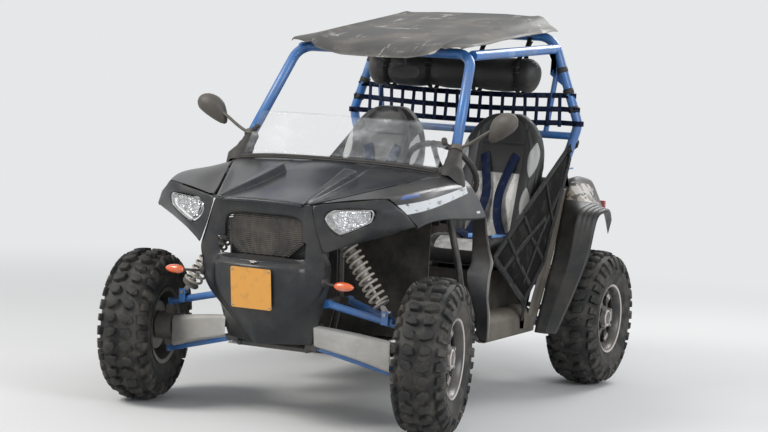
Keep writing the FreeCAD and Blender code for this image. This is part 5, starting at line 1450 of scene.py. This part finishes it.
form = bmesh.new()
corners = [plate_point(x, share) for x, share in ((-97, 0), (97, 0), (97, 1), (-97, 1))]
face = outline_face(form, corners)
round_off(form, form.verts[:], 0.008, 4, "VERTICES")
bmesh.ops.inset_region(form, faces=form.faces[:], thickness=0.0022)
for face in form.faces:
    if len(face.verts) == 4:
        face.material_index = 1
inner_face = max(form.faces, key=lambda f: f.calc_area())
bmesh.ops.translate(form, verts=inner_face.verts[:], vec=(0, 0.0006, 0))
turned_towards(form, (0, -1, 0))
bmesh.ops.solidify(form, geom=form.faces[:], thickness=0.0014)
for x, share in ((-88, 0.06), (88, 0.06), (-88, 0.94), (88, 0.94)):
    bolt = bmesh.new()
    ring_z(bolt, [(0, 0.0022), (0.0030, 0.0020), (0.0044, 0.0008), (0.0046, 0.0)], 12)
    bolt.transform(Matrix.Translation(in_metres(plate_point(x, share, 0.6))) @ turn_to(PLATE_OUT))
    join_form(form, paint_faces(bolt, 2))
chassis_piece("blank_number_plate", form, [plate_finish.material, black_paint, steel],
              "plate_yellow", "number_plate", smooth=False)

# %% [markdown]
# ## Controls
# A padded steering wheel with three spokes stands in front of the driver, and the dashboard
# is one moulding over the cab's full width.

# %% Steering wheel
RING_RADIUS, GRIP_RADIUS = 0.175, 0.0145
hub = Vector((0.3, -0.07, 1.075))
column = Vector((0, math.cos(math.radians(38)), math.sin(math.radians(38))))
form = bmesh.new()
ring = bmesh.ops.create_circle(form, segments=14, radius=GRIP_RADIUS,
                               matrix=Matrix.Translation((RING_RADIUS, 0, 0))
                               @ Matrix.Rotation(math.pi / 2, 4, "X"))["verts"]
edges = list({e for v in ring for e in v.link_edges})
bmesh.ops.spin(form, geom=ring + edges, cent=(0, 0, 0), axis=(0, 0, 1), angle=math.tau,
               steps=72, use_merge=True)
bmesh.ops.remove_doubles(form, verts=form.verts, dist=1e-6)
for vert in form.verts:
    angle = math.atan2(vert.co.y, vert.co.x)
    grip = 1 + 0.0011 * math.cos(angle * 36) / GRIP_RADIUS
    centre = Vector((RING_RADIUS * math.cos(angle), RING_RADIUS * math.sin(angle), 0))
    vert.co = centre + (vert.co - centre) * grip
pad = bmesh.new()
ring_z(pad, [(0, 0.012), (0.030, 0.011), (0.040, 0.004), (0.042, -0.008), (0.038, -0.022),
             (0.030, -0.028), (0, -0.028)], 32)
join_form(form, pad)
for angle in (90, 210, 330):
    spoke = grid_form([[(34, -17, 3), (34, 0, 5), (34, 17, 3)],
                       [(80, -12, -2), (80, 0, 0), (80, 12, -2)],
                       [(130, -12, -3), (130, 0, -1), (130, 12, -3)],
                       [(172, -16, 0), (172, 0, 0), (172, 16, 0)]])
    give_wall(spoke, 0.007)
    spoke.transform(Matrix.Rotation(math.radians(angle), 4, "Z"))
    join_form(form, spoke)
shaft = bmesh.new()
bmesh.ops.create_cone(shaft, cap_ends=True, segments=20, radius1=0.0085,
                      radius2=0.0085, depth=0.175,
                      matrix=Matrix.Translation((0, 0, -0.111)))
join_form(form, paint_faces(shaft, 1))
bmesh.ops.recalc_face_normals(form, faces=form.faces)
form.transform(Matrix.Translation(hub) @ turn_to(column))
wheel = mesh_piece("padded_steering_wheel", form, [rubber, steel], sharp=40)
stands_for(wheel, "steering_wheel_body", "black_rubber", "steering_wheel")

# %% Dashboard
section = ((-510, 864), (-510, 1076), (-480, 1100), (-430, 1113), (-350, 1118),
           (-300, 1112), (-272, 1090),
           (-268, 1066), (-284, 1000), (-300, 934), (-318, 908), (-400, 864))
rows = [[(x, y, z - (0 if abs(x) < 440 else 3)) for y, z in section]
        for x in (-500, -494, -440, -300, -180, -120, 0, 120, 180, 240, 360, 440, 494, 500)]
form = turned_towards(grid_form(rows, (0, 13), (0, 1, 7, 10), 0.6), (0, 1, 0.4))
for x, width in ((0.02, 0.12), (-0.3, 0.26)):  # the lids of the middle tray and the glove box
    join_form(form, block_form((x, -0.278, 1.0), (width, 0.016, 0.1), 0.005, 2, tilt=13))
sleeve = bmesh.new()
ring_z(sleeve, [(0.0092, -0.14), (0.026, -0.14), (0.028, -0.15), (0.028, -0.288),
                (0.036, -0.30)], 28)
sleeve.transform(Matrix.Translation(hub) @ turn_to(column))
join_form(form, sleeve)
panel("dashboard_moulding", form, [fascia_plastic], 0.005, 1, "black_plastic", "dashboard")

# %% [markdown]
# ## Padded pieces
# The bucket seats and the rolled bag under the roof are stuffed. A smooth grid would look
# like plastic, so each is laid out as a loft, remeshed evenly and then blown up a little as
# cloth, with no gravity, which rounds the pads and puckers them as stuffing does.

# %% Inflating a loft as cloth
def loft_form(rings):
    """A closed skin through rings of points in millimetres, capped at both ends."""
    rows = [list(ring) + [ring[0]] for ring in rings]
    form = grid_form(rows)
    bmesh.ops.remove_doubles(form, verts=form.verts, dist=1e-5)
    bmesh.ops.holes_fill(form, edges=[e for e in form.edges if e.is_boundary], sides=0)
    bmesh.ops.recalc_face_normals(form, faces=form.faces)
    return form


def evaluated_mesh(holder):
    graph = bpy.context.evaluated_depsgraph_get()
    return bpy.data.meshes.new_from_object(holder.evaluated_get(graph), depsgraph=graph)


PAD_PRESSURE, PAD_FRAMES = 4.0, 20


def puffed_form(form, voxel, cap, smooth=2):
    """Remeshes a closed form, blows it up as cloth and caps how far each point moves."""
    holder = mesh_piece("pad_in_work", form, [])
    soft = holder.modifiers.new("soft", "SUBSURF")
    soft.levels = soft.render_levels = smooth
    even = holder.modifiers.new("even", "REMESH")
    even.mode, even.voxel_size = "VOXEL", voxel
    start = evaluated_mesh(holder)
    bpy.data.objects.remove(holder)
    result = start
    holder = bpy.data.objects.new("pad_in_work", start.copy())
    bpy.context.scene.collection.objects.link(holder)
    cloth = holder.modifiers.new("cloth", "CLOTH")
    settings = cloth.settings
    settings.quality, settings.mass = 5, 0.3
    settings.use_pressure, settings.uniform_pressure_force = True, PAD_PRESSURE
    settings.tension_stiffness = settings.compression_stiffness = 12
    settings.effector_weights.gravity = 0
    cloth.point_cache.frame_start, cloth.point_cache.frame_end = 1, PAD_FRAMES
    for frame_number in range(1, PAD_FRAMES + 1):
        bpy.context.scene.frame_set(frame_number)
    result = evaluated_mesh(holder)
    furthest = 0.0
    for before, after in zip(start.vertices, result.vertices):
        move = after.co - before.co
        furthest = max(furthest, move.length)
        if move.length > cap:
            after.co = before.co + move.normalized() * cap
    print("pad points", len(result.vertices), "moved up to", round(furthest, 4), "m")
    bpy.data.objects.remove(holder)
    bpy.context.scene.frame_set(1)
    done = bmesh.new()
    done.from_mesh(result)
    bmesh.ops.smooth_vert(done, verts=done.verts, factor=0.5, use_axis_x=True, use_axis_y=True,
                          use_axis_z=True)
    return done


def one_subdivision(piece):
    soft = piece.modifiers.new("soft", "SUBSURF")
    soft.levels = soft.render_levels = 1
    return piece


# %% Seat finish: black vinyl with pale almond inserts and a shiny pale middle
seat_vinyl = Finish("seat_vinyl", Sheen_Weight=0.15, Sheen_Roughness=0.5)
pale = seat_vinyl.add("ShaderNodeAttribute", {"attribute_name": "pale"}, output="Fac")
pale_edge = seat_vinyl.above(pale, 0.46, 0.54)
shiny = seat_vinyl.add("ShaderNodeAttribute", {"attribute_name": "shiny"}, output="Fac")
shiny_edge = seat_vinyl.above(shiny, 0.45, 0.55)
creases = seat_vinyl.noise(9.0, 6.0, (1.0, 1.0, 0.5), 0.7)
grain = seat_vinyl.noise(520.0, 3.0)
seam = seat_vinyl.above(0.09 - ((pale - 0.5) ** 2) ** 0.5, 0.0, 0.05)
black = seat_vinyl.blend(seat_vinyl.noise(5.0, 5.0), (0.009, 0.009, 0.0095),
                         (0.02, 0.019, 0.0185))
# The silver middle is grey cloth with painted highlights on the ridges of its crease relief and
# painted shade in the hollows.
silver = seat_vinyl.blend(seat_vinyl.above(creases, 0.4, 0.62), (0.24, 0.23, 0.21),
                          (0.64, 0.62, 0.59))
color = seat_vinyl.blend(pale_edge, black, (0.44, 0.44, 0.42))
seat_vinyl.wear(Base_Color=seat_vinyl.blend(shiny_edge, color, silver),
                Roughness=0.5 + pale_edge * 0.15 - shiny_edge * 0.22,
                Normal=seat_vinyl.bump(grain * 0.25 - seam * 0.8 + creases
                                       * shiny_edge * 3.0, 0.45, 0.0022))
seat_vinyl = seat_vinyl.material

# %% Bucket seats
SEAT_X = 325
# height, half width, front of the middle, how far the bolsters stand forward
SEAT_BACK = ((672, 150, 486, 26), (700, 192, 480, 44), (780, 214, 498, 58), (900, 228, 532, 62),
             (1030, 234, 572, 60),
             (1140, 230, 604, 52), (1210, 214, 624, 42), (1270, 186, 638, 30),
             (1320, 146, 648, 20), (1352, 100, 658, 12),
             (1364, 60, 668, 4))
SEAT_SECTION = ((0, 0), (0.30, -0.02), (0.52, -0.12), (0.64, -0.62), (0.80, -1.0),
                (0.93, -0.86), (1.0, -0.15))


def full_ring(half, last):
    """A closed ring from the half that starts in the middle and its last point there."""
    return half + [last] + [(-x, y, z) for x, y, z in reversed(half[1:])]


def seat_back_ring(z, half, front, reach):
    right = [(s * half, front + depth * reach, z) for s, depth in SEAT_SECTION]
    thick = 86 if z > 760 else 64
    right += [(0.97 * half, front + 0.55 * thick, z), (0.80 * half, front + 0.9 * thick, z),
              (0.4 * half, front + thick, z)]
    return full_ring(right, (0, front + thick, z))


# depth from the front, half width, top of the middle, bolster height, underside
SEAT_BASE = ((84, 120, 700, 0, 672), (92, 172, 722, 4, 650), (120, 196, 744, 10, 640),
             (200, 208, 744, 24, 636),
             (320, 212, 724, 38, 634), (420, 212, 706, 46, 634), (500, 206, 700, 44, 634),
             (540, 190, 690, 26, 640),
             (552, 140, 676, 4, 652))


def seat_base_ring(y, half, top, lift, low):
    right = [(0, y, top), (0.34 * half, y, top + 0.04 * lift),
             (0.56 * half, y, top + 0.25 * lift),
             (0.70 * half, y, top + 0.85 * lift), (0.84 * half, y, top + lift),
             (0.96 * half, y, top + 0.5 * lift - 8),
             (half, y, (top + low) / 2), (0.95 * half, y, low + 6), (0.8 * half, y, low)]
    return full_ring(right, (0, y, low))


def almond(x, z, centre_x, centre_z, half_x, half_z):
    """1 in the middle of an almond outline, 0.5 on its edge, lower outside."""
    up = (z - centre_z) / half_z
    if abs(up) > 1.6:
        return 0.0
    wide = max(half_x * (1 - up * up), 1e-4)
    return 1 - 0.5 * min(abs(x - centre_x) / wide, 2.0)


SEAT_VOXEL, SEAT_CAP = 0.007, 0.009
SEAM_DEPTH, SEAM_HALF = 0.0035, 0.006
back_rings = [seat_back_ring(*row) for row in SEAT_BACK]
base_rings = [seat_base_ring(*row) for row in SEAT_BASE]
back_form = puffed_form(loft_form(back_rings), SEAT_VOXEL, SEAT_CAP)
base_form = puffed_form(loft_form(base_rings), SEAT_VOXEL, SEAT_CAP)
for form in (back_form, base_form):
    form.verts.layers.float.new("pale")
    form.verts.layers.float.new("shiny")
pale_layer, shiny_layer = (back_form.verts.layers.float[name] for name in ("pale", "shiny"))
back_form.normal_update()
for vert in back_form.verts:
    x, y, z = abs(vert.co.x), vert.co.y, vert.co.z
    front = vert.normal.y < 0.35
    inserts = (almond(x, z, 0.186, 1.135, 0.026, 0.088), almond(x, z, 0.180, 0.925, 0.024, 0.080))
    vert[pale_layer] = max(inserts) if front else 0.0
    # the pale middle runs from the cushion to the shoulder band
    inside = min((0.118 - x) / 0.014, (1.062 - z) / 0.02) if front else -1
    vert[shiny_layer] = min(max(0.5 + inside * 0.5, 0), 1)
    groove = 0.0
    for line in (0.124, 0.214):
        groove = max(groove, 1 - abs(x - line) / SEAM_HALF)
    for line in (1.08, 1.21):
        if x < 0.124:
            groove = max(groove, 1 - abs(z - line) / SEAM_HALF)
    if groove > 0 and front and 0.72 < z < 1.30:
        vert.co -= vert.normal * SEAM_DEPTH * groove
pale_layer, shiny_layer = (base_form.verts.layers.float[name] for name in ("pale", "shiny"))
base_form.normal_update()
for vert in base_form.verts:
    x, y = abs(vert.co.x), vert.co.y
    top = vert.normal.z > 0.3
    vert[pale_layer] = 0.0
    vert[shiny_layer] = min(max(0.5 + min(0.116 - x, y - 0.08) / 0.03, 0), 1) if top else 0.0
    groove = max(1 - abs(x - 0.120) / SEAM_HALF, 0) if top else 0
    vert.co -= vert.normal * SEAM_DEPTH * groove


def seat_piece(name, form, side):
    twin = form.copy()
    bmesh.ops.translate(twin, verts=twin.verts, vec=(SEAT_X / 1000, 0, 0))
    piece = one_subdivision(mesh_piece(name, on_side(twin, side), [seat_vinyl]))
    return piece


driver_back = seat_piece("driver_seat_back", back_form, 1)
passenger_back = seat_piece("passenger_seat_back", back_form, -1)
driver_base = seat_piece("driver_seat_cushion", base_form, 1)
passenger_base = seat_piece("passenger_seat_cushion", base_form, -1)
back_form.free()
base_form.free()
stands_for(driver_back, "chassis", "seat_cover", "seats")
for piece in (passenger_back, driver_base, passenger_base):
    stands_for(piece, "chassis", "seat_cover")

# %% Seat pans and their runners
form = bmesh.new()
for s in SIDES:
    rows = []
    for y, half, z in ((100, 176, 640), (200, 196, 636), (400, 200, 634), (540, 190, 640),
                       (600, 176, 676), (640, 170, 760)):
        rows.append([(s * (SEAT_X + x), y, zz)
                     for x, zz in ((-half, z + 10), (-half + 14, z - 4), (0, z - 8),
                                   (half - 14, z - 4), (half, z + 10))])
    pan = turned_towards(grid_form(rows), (0, 0, -1))
    join_form(form, give_wall(pan, 0.004))
    for x in (-120, 120):
        bar_between(form, (s * (SEAT_X + x), 130, 621), (s * (SEAT_X + x), 540, 621), 30, 22, 1)
chassis_piece("seat_pans", form, [guard_plastic, black_paint], "black_plastic", sharp=40)

# %% [markdown]
# ## Webbing, nets and the bag
# Straps are woven bands, so each is a flat ribbon along a path with a weave in its finish.
# The window nets are finer: a sheet with holes in its alpha between webbing edges.

# %% Webbing
def webbing_finish(name, color, light, scale=170.0):
    web = Finish(name, Roughness=0.85, Specular_IOR_Level=0.15, Sheen_Weight=0.08,
                 Sheen_Roughness=0.4)
    uv = web.add("ShaderNodeUVMap", {"uv_map": "band"})
    threads = web.add("ShaderNodeTexWave", {"wave_type": "BANDS", "bands_direction": "DIAGONAL"},
                      {"Vector": uv, "Scale": scale, "Distortion": 0.6}, output="Fac")
    dirt = web.above(web.noise(30.0, 6.0), 0.45, 0.7)
    web.wear(Base_Color=web.blend(dirt * 0.1, web.blend(threads, color, light), DUST),
             Normal=web.bump(threads, 0.5, 0.0006))
    return web.material


black_web = webbing_finish("black_webbing", (0.007, 0.007, 0.0075), (0.018, 0.018, 0.019))
navy_web = webbing_finish("navy_webbing", (0.006, 0.011, 0.032), (0.014, 0.027, 0.075))


WEB_THICKNESS, ACROSS = 0.0018, 3  # metres, and points across a strap


def ribbon(form, points, width, facing):
    """A flat strap along points in millimetres; facing is the way its face looks."""
    facing = Vector(facing).normalized()
    guide = [Vector(p) for p in points]
    fine = []
    for i in range(len(guide) - 1):
        before, after = guide[max(i - 1, 0)], guide[min(i + 2, len(guide) - 1)]
        for step in range(4):
            t = step / 4
            a, b = guide[i], guide[i + 1]
            ta, tb = (b - before) / 2, (after - a) / 2
            fine.append(a * (2 * t ** 3 - 3 * t ** 2 + 1) + ta * (t ** 3 - 2 * t ** 2 + t)
                        + b * (3 * t ** 2 - 2 * t ** 3) + tb * (t ** 3 - t ** 2))
    fine.append(guide[-1])
    rows = []
    for i, point in enumerate(fine):
        run = (fine[min(i + 1, len(fine) - 1)] - fine[max(i - 1, 0)]).normalized()
        side = run.cross(facing).normalized()
        rows.append([point + side * (width * (k / (ACROSS - 1) - 0.5)) for k in range(ACROSS)])
    band = grid_form(rows)
    uv = band.loops.layers.uv.new("band")
    long_way = {}
    total = 0.0
    band.verts.ensure_lookup_table()
    for i in range(len(rows)):
        if i:
            total += (fine[i] - fine[i - 1]).length / 1000
        for k in range(ACROSS):
            long_way[band.verts[i * ACROSS + k]] = (k / (ACROSS - 1) * width / 1000, total)
    for face in band.faces:
        for loop in face.loops:
            loop[uv].uv = long_way[loop.vert]
    join_form(form, give_wall(band, WEB_THICKNESS))


# %% Shoulder harness with its buckles
form = bmesh.new()
for s in SIDES:
    for hand, sway in ((1, 0), (-1, 6)):
        x = s * (SEAT_X + hand * 92)
        path = [(x, 744, 1160), (x, 715, 1178), (x + s * hand * 2, 640, 1178),
                (x - s * hand * 10, 590, 1150),
                (x - s * hand * 34, 556, 1068), (x - s * hand * (60 - sway), 522, 957),
                (x - s * hand * 42, 468, 850),
                (x - s * hand * (6 + sway), 440, 772), (x + s * hand * 10, 400, 748)]
        ribbon(form, path, 46, (0, -1, 0.3))
    for hand in (1, -1):
        lap = [(s * (SEAT_X + hand * 216), 560, 660), (s * (SEAT_X + hand * 190), 500, 764),
               (s * (SEAT_X + hand * 140), 440, 772),
               (s * (SEAT_X + hand * 60), 380, 752), (s * (SEAT_X + hand * 20), 352, 746)]
        ribbon(form, lap, 46, (0, -0.4, 1))
chassis_piece("shoulder_harness", form, [navy_web], "webbing")
form = bmesh.new()
for s in SIDES:
    for at, size in (((s * (SEAT_X + 100), 396, 757), (0.062, 0.07, 0.02)),
                     ((s * (SEAT_X - 4), 350, 757), (0.07, 0.06, 0.022))):
        join_form(form, block_form(in_metres(at), size, 0.006, 2))
buckle_blue = moulded_plastic("buckle_blue", (0.12, 0.3, 0.62), 0.35, 500, 0.1)
chassis_piece("harness_buckles", form, [buckle_blue], "blue_paint")

# %% Net behind the seats
form = bmesh.new()
NET_Z = (1452, 1383, 1314)
NET_X = [-532 + step * 1064 / 17 for step in range(18)]
for z in NET_Z:
    ribbon(form, [(-546, 836, z + 8), (-300, 838, z - 3), (0, 838, z - 7), (300, 838, z - 3),
                  (546, 836, z + 8)], 25, (0, -1, 0))
for i, x in enumerate(NET_X):
    sag = -7 * (1 - (x / 546) ** 2)
    lean = 4 * math.sin(i * 2.1)
    ribbon(form, [(x + lean, 833, 1466 + sag), (x, 834, 1383 + sag),
                  (x - lean, 833, 1302 + sag)], 19, (0, -1, 0))
for s in SIDES:
    for z in NET_Z:
        x = s * hoop_x(z)
        ribbon(form, [(s * 545, 836, z + 8), (x - s * 20, 822, z + 8), (x + s * 10, 822, z + 8),
                      (x + s * 28, 850, z + 8),
                      (x + s * 8, 877, z + 8), (x - s * 18, 870, z + 8)], 24, (s * 0.3, -1, 0))
chassis_piece("rear_webbing_net", form, [navy_web], "webbing", "rear_net")

# %% Side nets
net_cloth = Finish("side_net_cloth", Roughness=0.9, Specular_IOR_Level=0.12)
cell = net_cloth.add("ShaderNodeTexVoronoi", {"feature": "DISTANCE_TO_EDGE"},
                     {"Vector": net_cloth.place, "Scale": 170.0, "Randomness": 0.25},
                     output="Distance")
strands = net_cloth.above(0.34 - cell, 0.0, 0.05)
net_cloth.wear(Base_Color=net_cloth.blend(net_cloth.above(net_cloth.noise(14.0, 6.0), 0.5,
                                                          0.7) * 0.08,
                                          (0.006, 0.006, 0.0065), DUST),
               Alpha=0.72 + strands * 0.28, Normal=net_cloth.bump(strands, 0.3, 0.0006))
net_cloth = net_cloth.material
NET_OUTLINE = ((-100, 700), (250, 894), (520, 1044), (800, 1198), (836, 1150), (760, 1002),
               (664, 826), (560, 642),
               (445, 562), (330, 482), (285, 482), (150, 560), (20, 632))


def net_x(y, z):
    """Distance of the net from the middle plane: it bellies inwards between its edges."""
    middle = math.exp(-((y - 420) / 260) ** 2 - ((z - 780) / 170) ** 2)
    return 601.5 - 9 * middle


NET_CENTRE = (420, 790)
rows = []
for share in (1.0, 0.75, 0.5, 0.25, 0.06):
    drawn_in = [tuple(c + (p - c) * share for p, c in zip(point, NET_CENTRE))
                for point in NET_OUTLINE + NET_OUTLINE[:1]]
    rows.append([(net_x(y, z), y, z) for y, z in drawn_in])
form = grid_form(rows)
bmesh.ops.remove_doubles(form, verts=form.verts, dist=1e-5)
bmesh.ops.holes_fill(form, edges=[e for e in form.edges
                                  if e.is_boundary and e.calc_length() < 0.03], sides=0)
turned_towards(form, (1, 0, 0))
net_area = sum(f.calc_area() for f in form.faces)
side_nets = mesh_piece("side_net_cloth_panels", mirror_form(form), [net_cloth])
wall = side_nets.modifiers.new("wall", "SOLIDIFY")
wall.thickness, wall.offset = 0.0015, -1
stands_for(side_nets, "chassis", "net_fabric", "side_nets")

form = bmesh.new()
for s in SIDES:
    edge = [(s * (net_x(y, z) + 2.4), y, z) for y, z in NET_OUTLINE]
    for run in (edge[0:4], edge[3:5], edge[4:8], edge[7:11], edge[10:13] + edge[:1]):
        ribbon(form, run, 38, (s, 0, 0))
    for a, b in (((60, 790), (400, 530)), ((250, 893), (560, 644)), ((520, 1043), (660, 826)),
                 ((20, 634), (560, 860)), ((300, 560), (740, 1000))):
        points = [(s * (net_x(*p) + 2.0), *p)
                  for p in (a, ((a[0] + b[0]) / 2, (a[1] + b[1]) / 2), b)]
        ribbon(form, points, 26, (s, 0, 0))
    ribbon(form, [(s * 603, 320, 486), (s * 604, 300, 440), (s * 604, 312, 380),
                  (s * 604, 306, 336)], 40, (s, 0, 0))
    ribbon(form, [(s * 603, 352, 500), (s * 604, 326, 440), (s * 604, 304, 372),
                  (s * 604, 300, 336)], 30, (s, 0, 0))
    ribbon(form, [(s * 603, 810, 1185), (s * 612, 838, 1205), (s * 630, 852, 1222),
                  (s * 622, 872, 1222), (s * 600, 872, 1212)], 38, (s, -0.4, 0))
net_straps = chassis_piece("side_net_webbing", form, [black_web], "webbing")
# each panel is 0.936 m long and 0.716 m high, and the two are measured as one sheet
2 * net_area

# %% Rolled bag under the roof
bag_cloth = Finish("coated_bag_cloth", Sheen_Weight=0.2, Sheen_Roughness=0.4)
weave = bag_cloth.add("ShaderNodeTexWave", {"bands_direction": "DIAGONAL"},
                      {"Vector": bag_cloth.place, "Scale": 260.0}, output="Fac")
wrinkle = bag_cloth.noise(12.0, 6.0, (0.6, 1, 1.6), 0.65)
dust_film = bag_cloth.above(bag_cloth.noise(6.0, 8.0), 0.48, 0.75) * 0.3
# The cloth's colour follows the wrinkle relief, darker in the folds and lighter on the crests:
# painted shade and sheen on the wrinkles.
bag_cloth.wear(Base_Color=bag_cloth.blend(dust_film,
                                          bag_cloth.blend(wrinkle, (0.010, 0.010, 0.011),
                                                          (0.028, 0.027, 0.026)), DUST),
               Roughness=0.5 + dust_film * 0.6,
               Normal=bag_cloth.bump(weave * 0.1 + wrinkle * 2.5, 0.4, 0.003))
bag_cloth = bag_cloth.material
BAG_Y, BAG_Z = 720, 1570
BAG_STRAPS = (-360, -120, 120, 360)
rings = []
for step in range(34):
    x = -488 + step * 952 / 33
    ends = min((x + 488) / 60, (464 - x) / 60, 1.0)
    radius = 76 * math.sin(math.acos(1 - max(ends, 0.06))) if ends < 1 else 76
    nearest = min(abs(x - strap) for strap in BAG_STRAPS)
    nip = 5 * math.exp(-(nearest / 26) ** 2)
    sag = -5 + 4 * math.exp(-(nearest / 60) ** 2)
    ring = []
    for k in range(20):
        angle = math.tau * k / 20
        r = radius - nip
        bulge = 0
        toward = math.cos(angle - math.radians(215))  # forwards and down
        if nearest > 40 and toward > 0.3:
            bulge = 7 * (toward - 0.3)
        down = 1.45 if math.sin(angle) < 0 else 0.96
        ring.append((x, BAG_Y + (r + bulge) * math.cos(angle), BAG_Z + sag + (r * down + bulge)
                     * math.sin(angle)))
    rings.append(ring)
form = puffed_form(loft_form(rings), 0.008, 0.008, smooth=1)
bag = one_subdivision(mesh_piece("rolled_bag", form, [bag_cloth]))
stands_for(bag, "chassis", "bag_fabric", "roll_bag")

form = bmesh.new()
for x in BAG_STRAPS:
    loop = []
    for k in range(13):
        angle = math.radians(80 + k * 27)
        hang = 115 if math.sin(angle) < 0 else 80
        loop.append((x + 2 * math.sin(k), BAG_Y + 83 * math.cos(angle), BAG_Z - 1 + hang
                     * math.sin(angle)))
    band = [(x, 806, 1745), (x, 790, 1712), (x, 752, 1662)] + loop + [(x, 760, 1664),
                                                                      (x, 800, 1706),
                                                                      (x, 822, 1722)]
    for a, b in ((0, 3), (2, 9), (8, 16), (15, 19)):
        run = band[a:b + 1]
        outward = Vector((0, sum(p[1] for p in run) / len(run) - BAG_Y,
                          sum(p[2] for p in run) / len(run) - BAG_Z))
        if a in (0, 15):
            outward = Vector((0, -1, 0.9))
        ribbon(form, run, 25, outward)
    bar_between(form, (x - 18, BAG_Y - 84, BAG_Z + 18), (x + 18, BAG_Y - 84, BAG_Z + 18), 7, 5, 1)
    bar_between(form, (x - 18, BAG_Y - 85, BAG_Z - 10), (x + 18, BAG_Y - 85, BAG_Z - 10), 7, 5, 1)
chassis_piece("bag_straps", form, [black_web, fascia_plastic], "webbing")

# %% Straps, gussets and loops on the cage
form = bmesh.new()
for s in SIDES:
    for z in (1585, 1480, 1392):
        x = hoop_x(z) - 2
        sleeve = bmesh.new()
        ring_z(sleeve, [(0.0245, -0.014), (0.0275, -0.012), (0.0275, 0.012), (0.0245, 0.014)], 20)
        lean = turn_to((hoop_x(1700) - hoop_x(1400), -10, 300))
        sleeve.transform(Matrix.Translation(in_metres((s * x, 850 - 22 * (z - 1315) / 435, z)))
                         @ (lean if s > 0 else Matrix.Rotation(math.pi, 4, "Z") @ lean))
        join_form(form, sleeve)
chassis_piece("cage_tube_straps", form, [rubber], "black_rubber")
form = bmesh.new()
for s in SIDES:
    for corners in (((s * (hoop_x(1600) - 22), 846, 1640), (s * (hoop_x(1500) - 22), 848, 1500),
                     (s * (hoop_x(1600) - 66), 846, 1560), (s * (hoop_x(1600) - 64), 846, 1640)),
                    ((s * 588, 846, 1090), (s * 602, 846, 1000), (s * 560, 846, 1010),
                     (s * 548, 846, 1090))):
        join_form(form, gusset_form(corners))
chassis_piece("cage_gussets", form, [blue_paint], "blue_paint", smooth=False)
form = bmesh.new()
for s in SIDES:
    loop = [(s * (536 + 16 * math.cos(a)), 838, 1062 + 42 * math.sin(a))
            for a in [math.tau * k / 12 for k in range(12)]]
    join_form(form, tube_form(loop, 4.5, cyclic=True))
chassis_piece("harness_d_loops", form, [steel], "steel")

# %% [markdown]
# ## The measured pieces that stay
# Frame tubes, arms, knuckles and the hidden machinery keep the frame's own meshes, which
# already have the right shape, and only get a finish. Their meshes are never touched.

# %% Finishes of the frame's own meshes
KEPT = {"frame_tubes": black_paint, "front_bulkhead": black_paint, "rear_bulkhead": black_paint,
        "skid_plate": guard_metal, "cab_floor": floor_plastic, "rear_bumper": black_paint,
        "radiator": fascia_plastic, "engine_block": cast, "muffler": steel,
        "suspension_arms": blue_paint, "half_shafts": black_paint, "rear_uprights": cast,
        "tie_rods": steel, "knuckle_left": cast, "knuckle_right": cast}
for node, material in KEPT.items():
    for slot in nodes[node].material_slots:
        slot.material = material
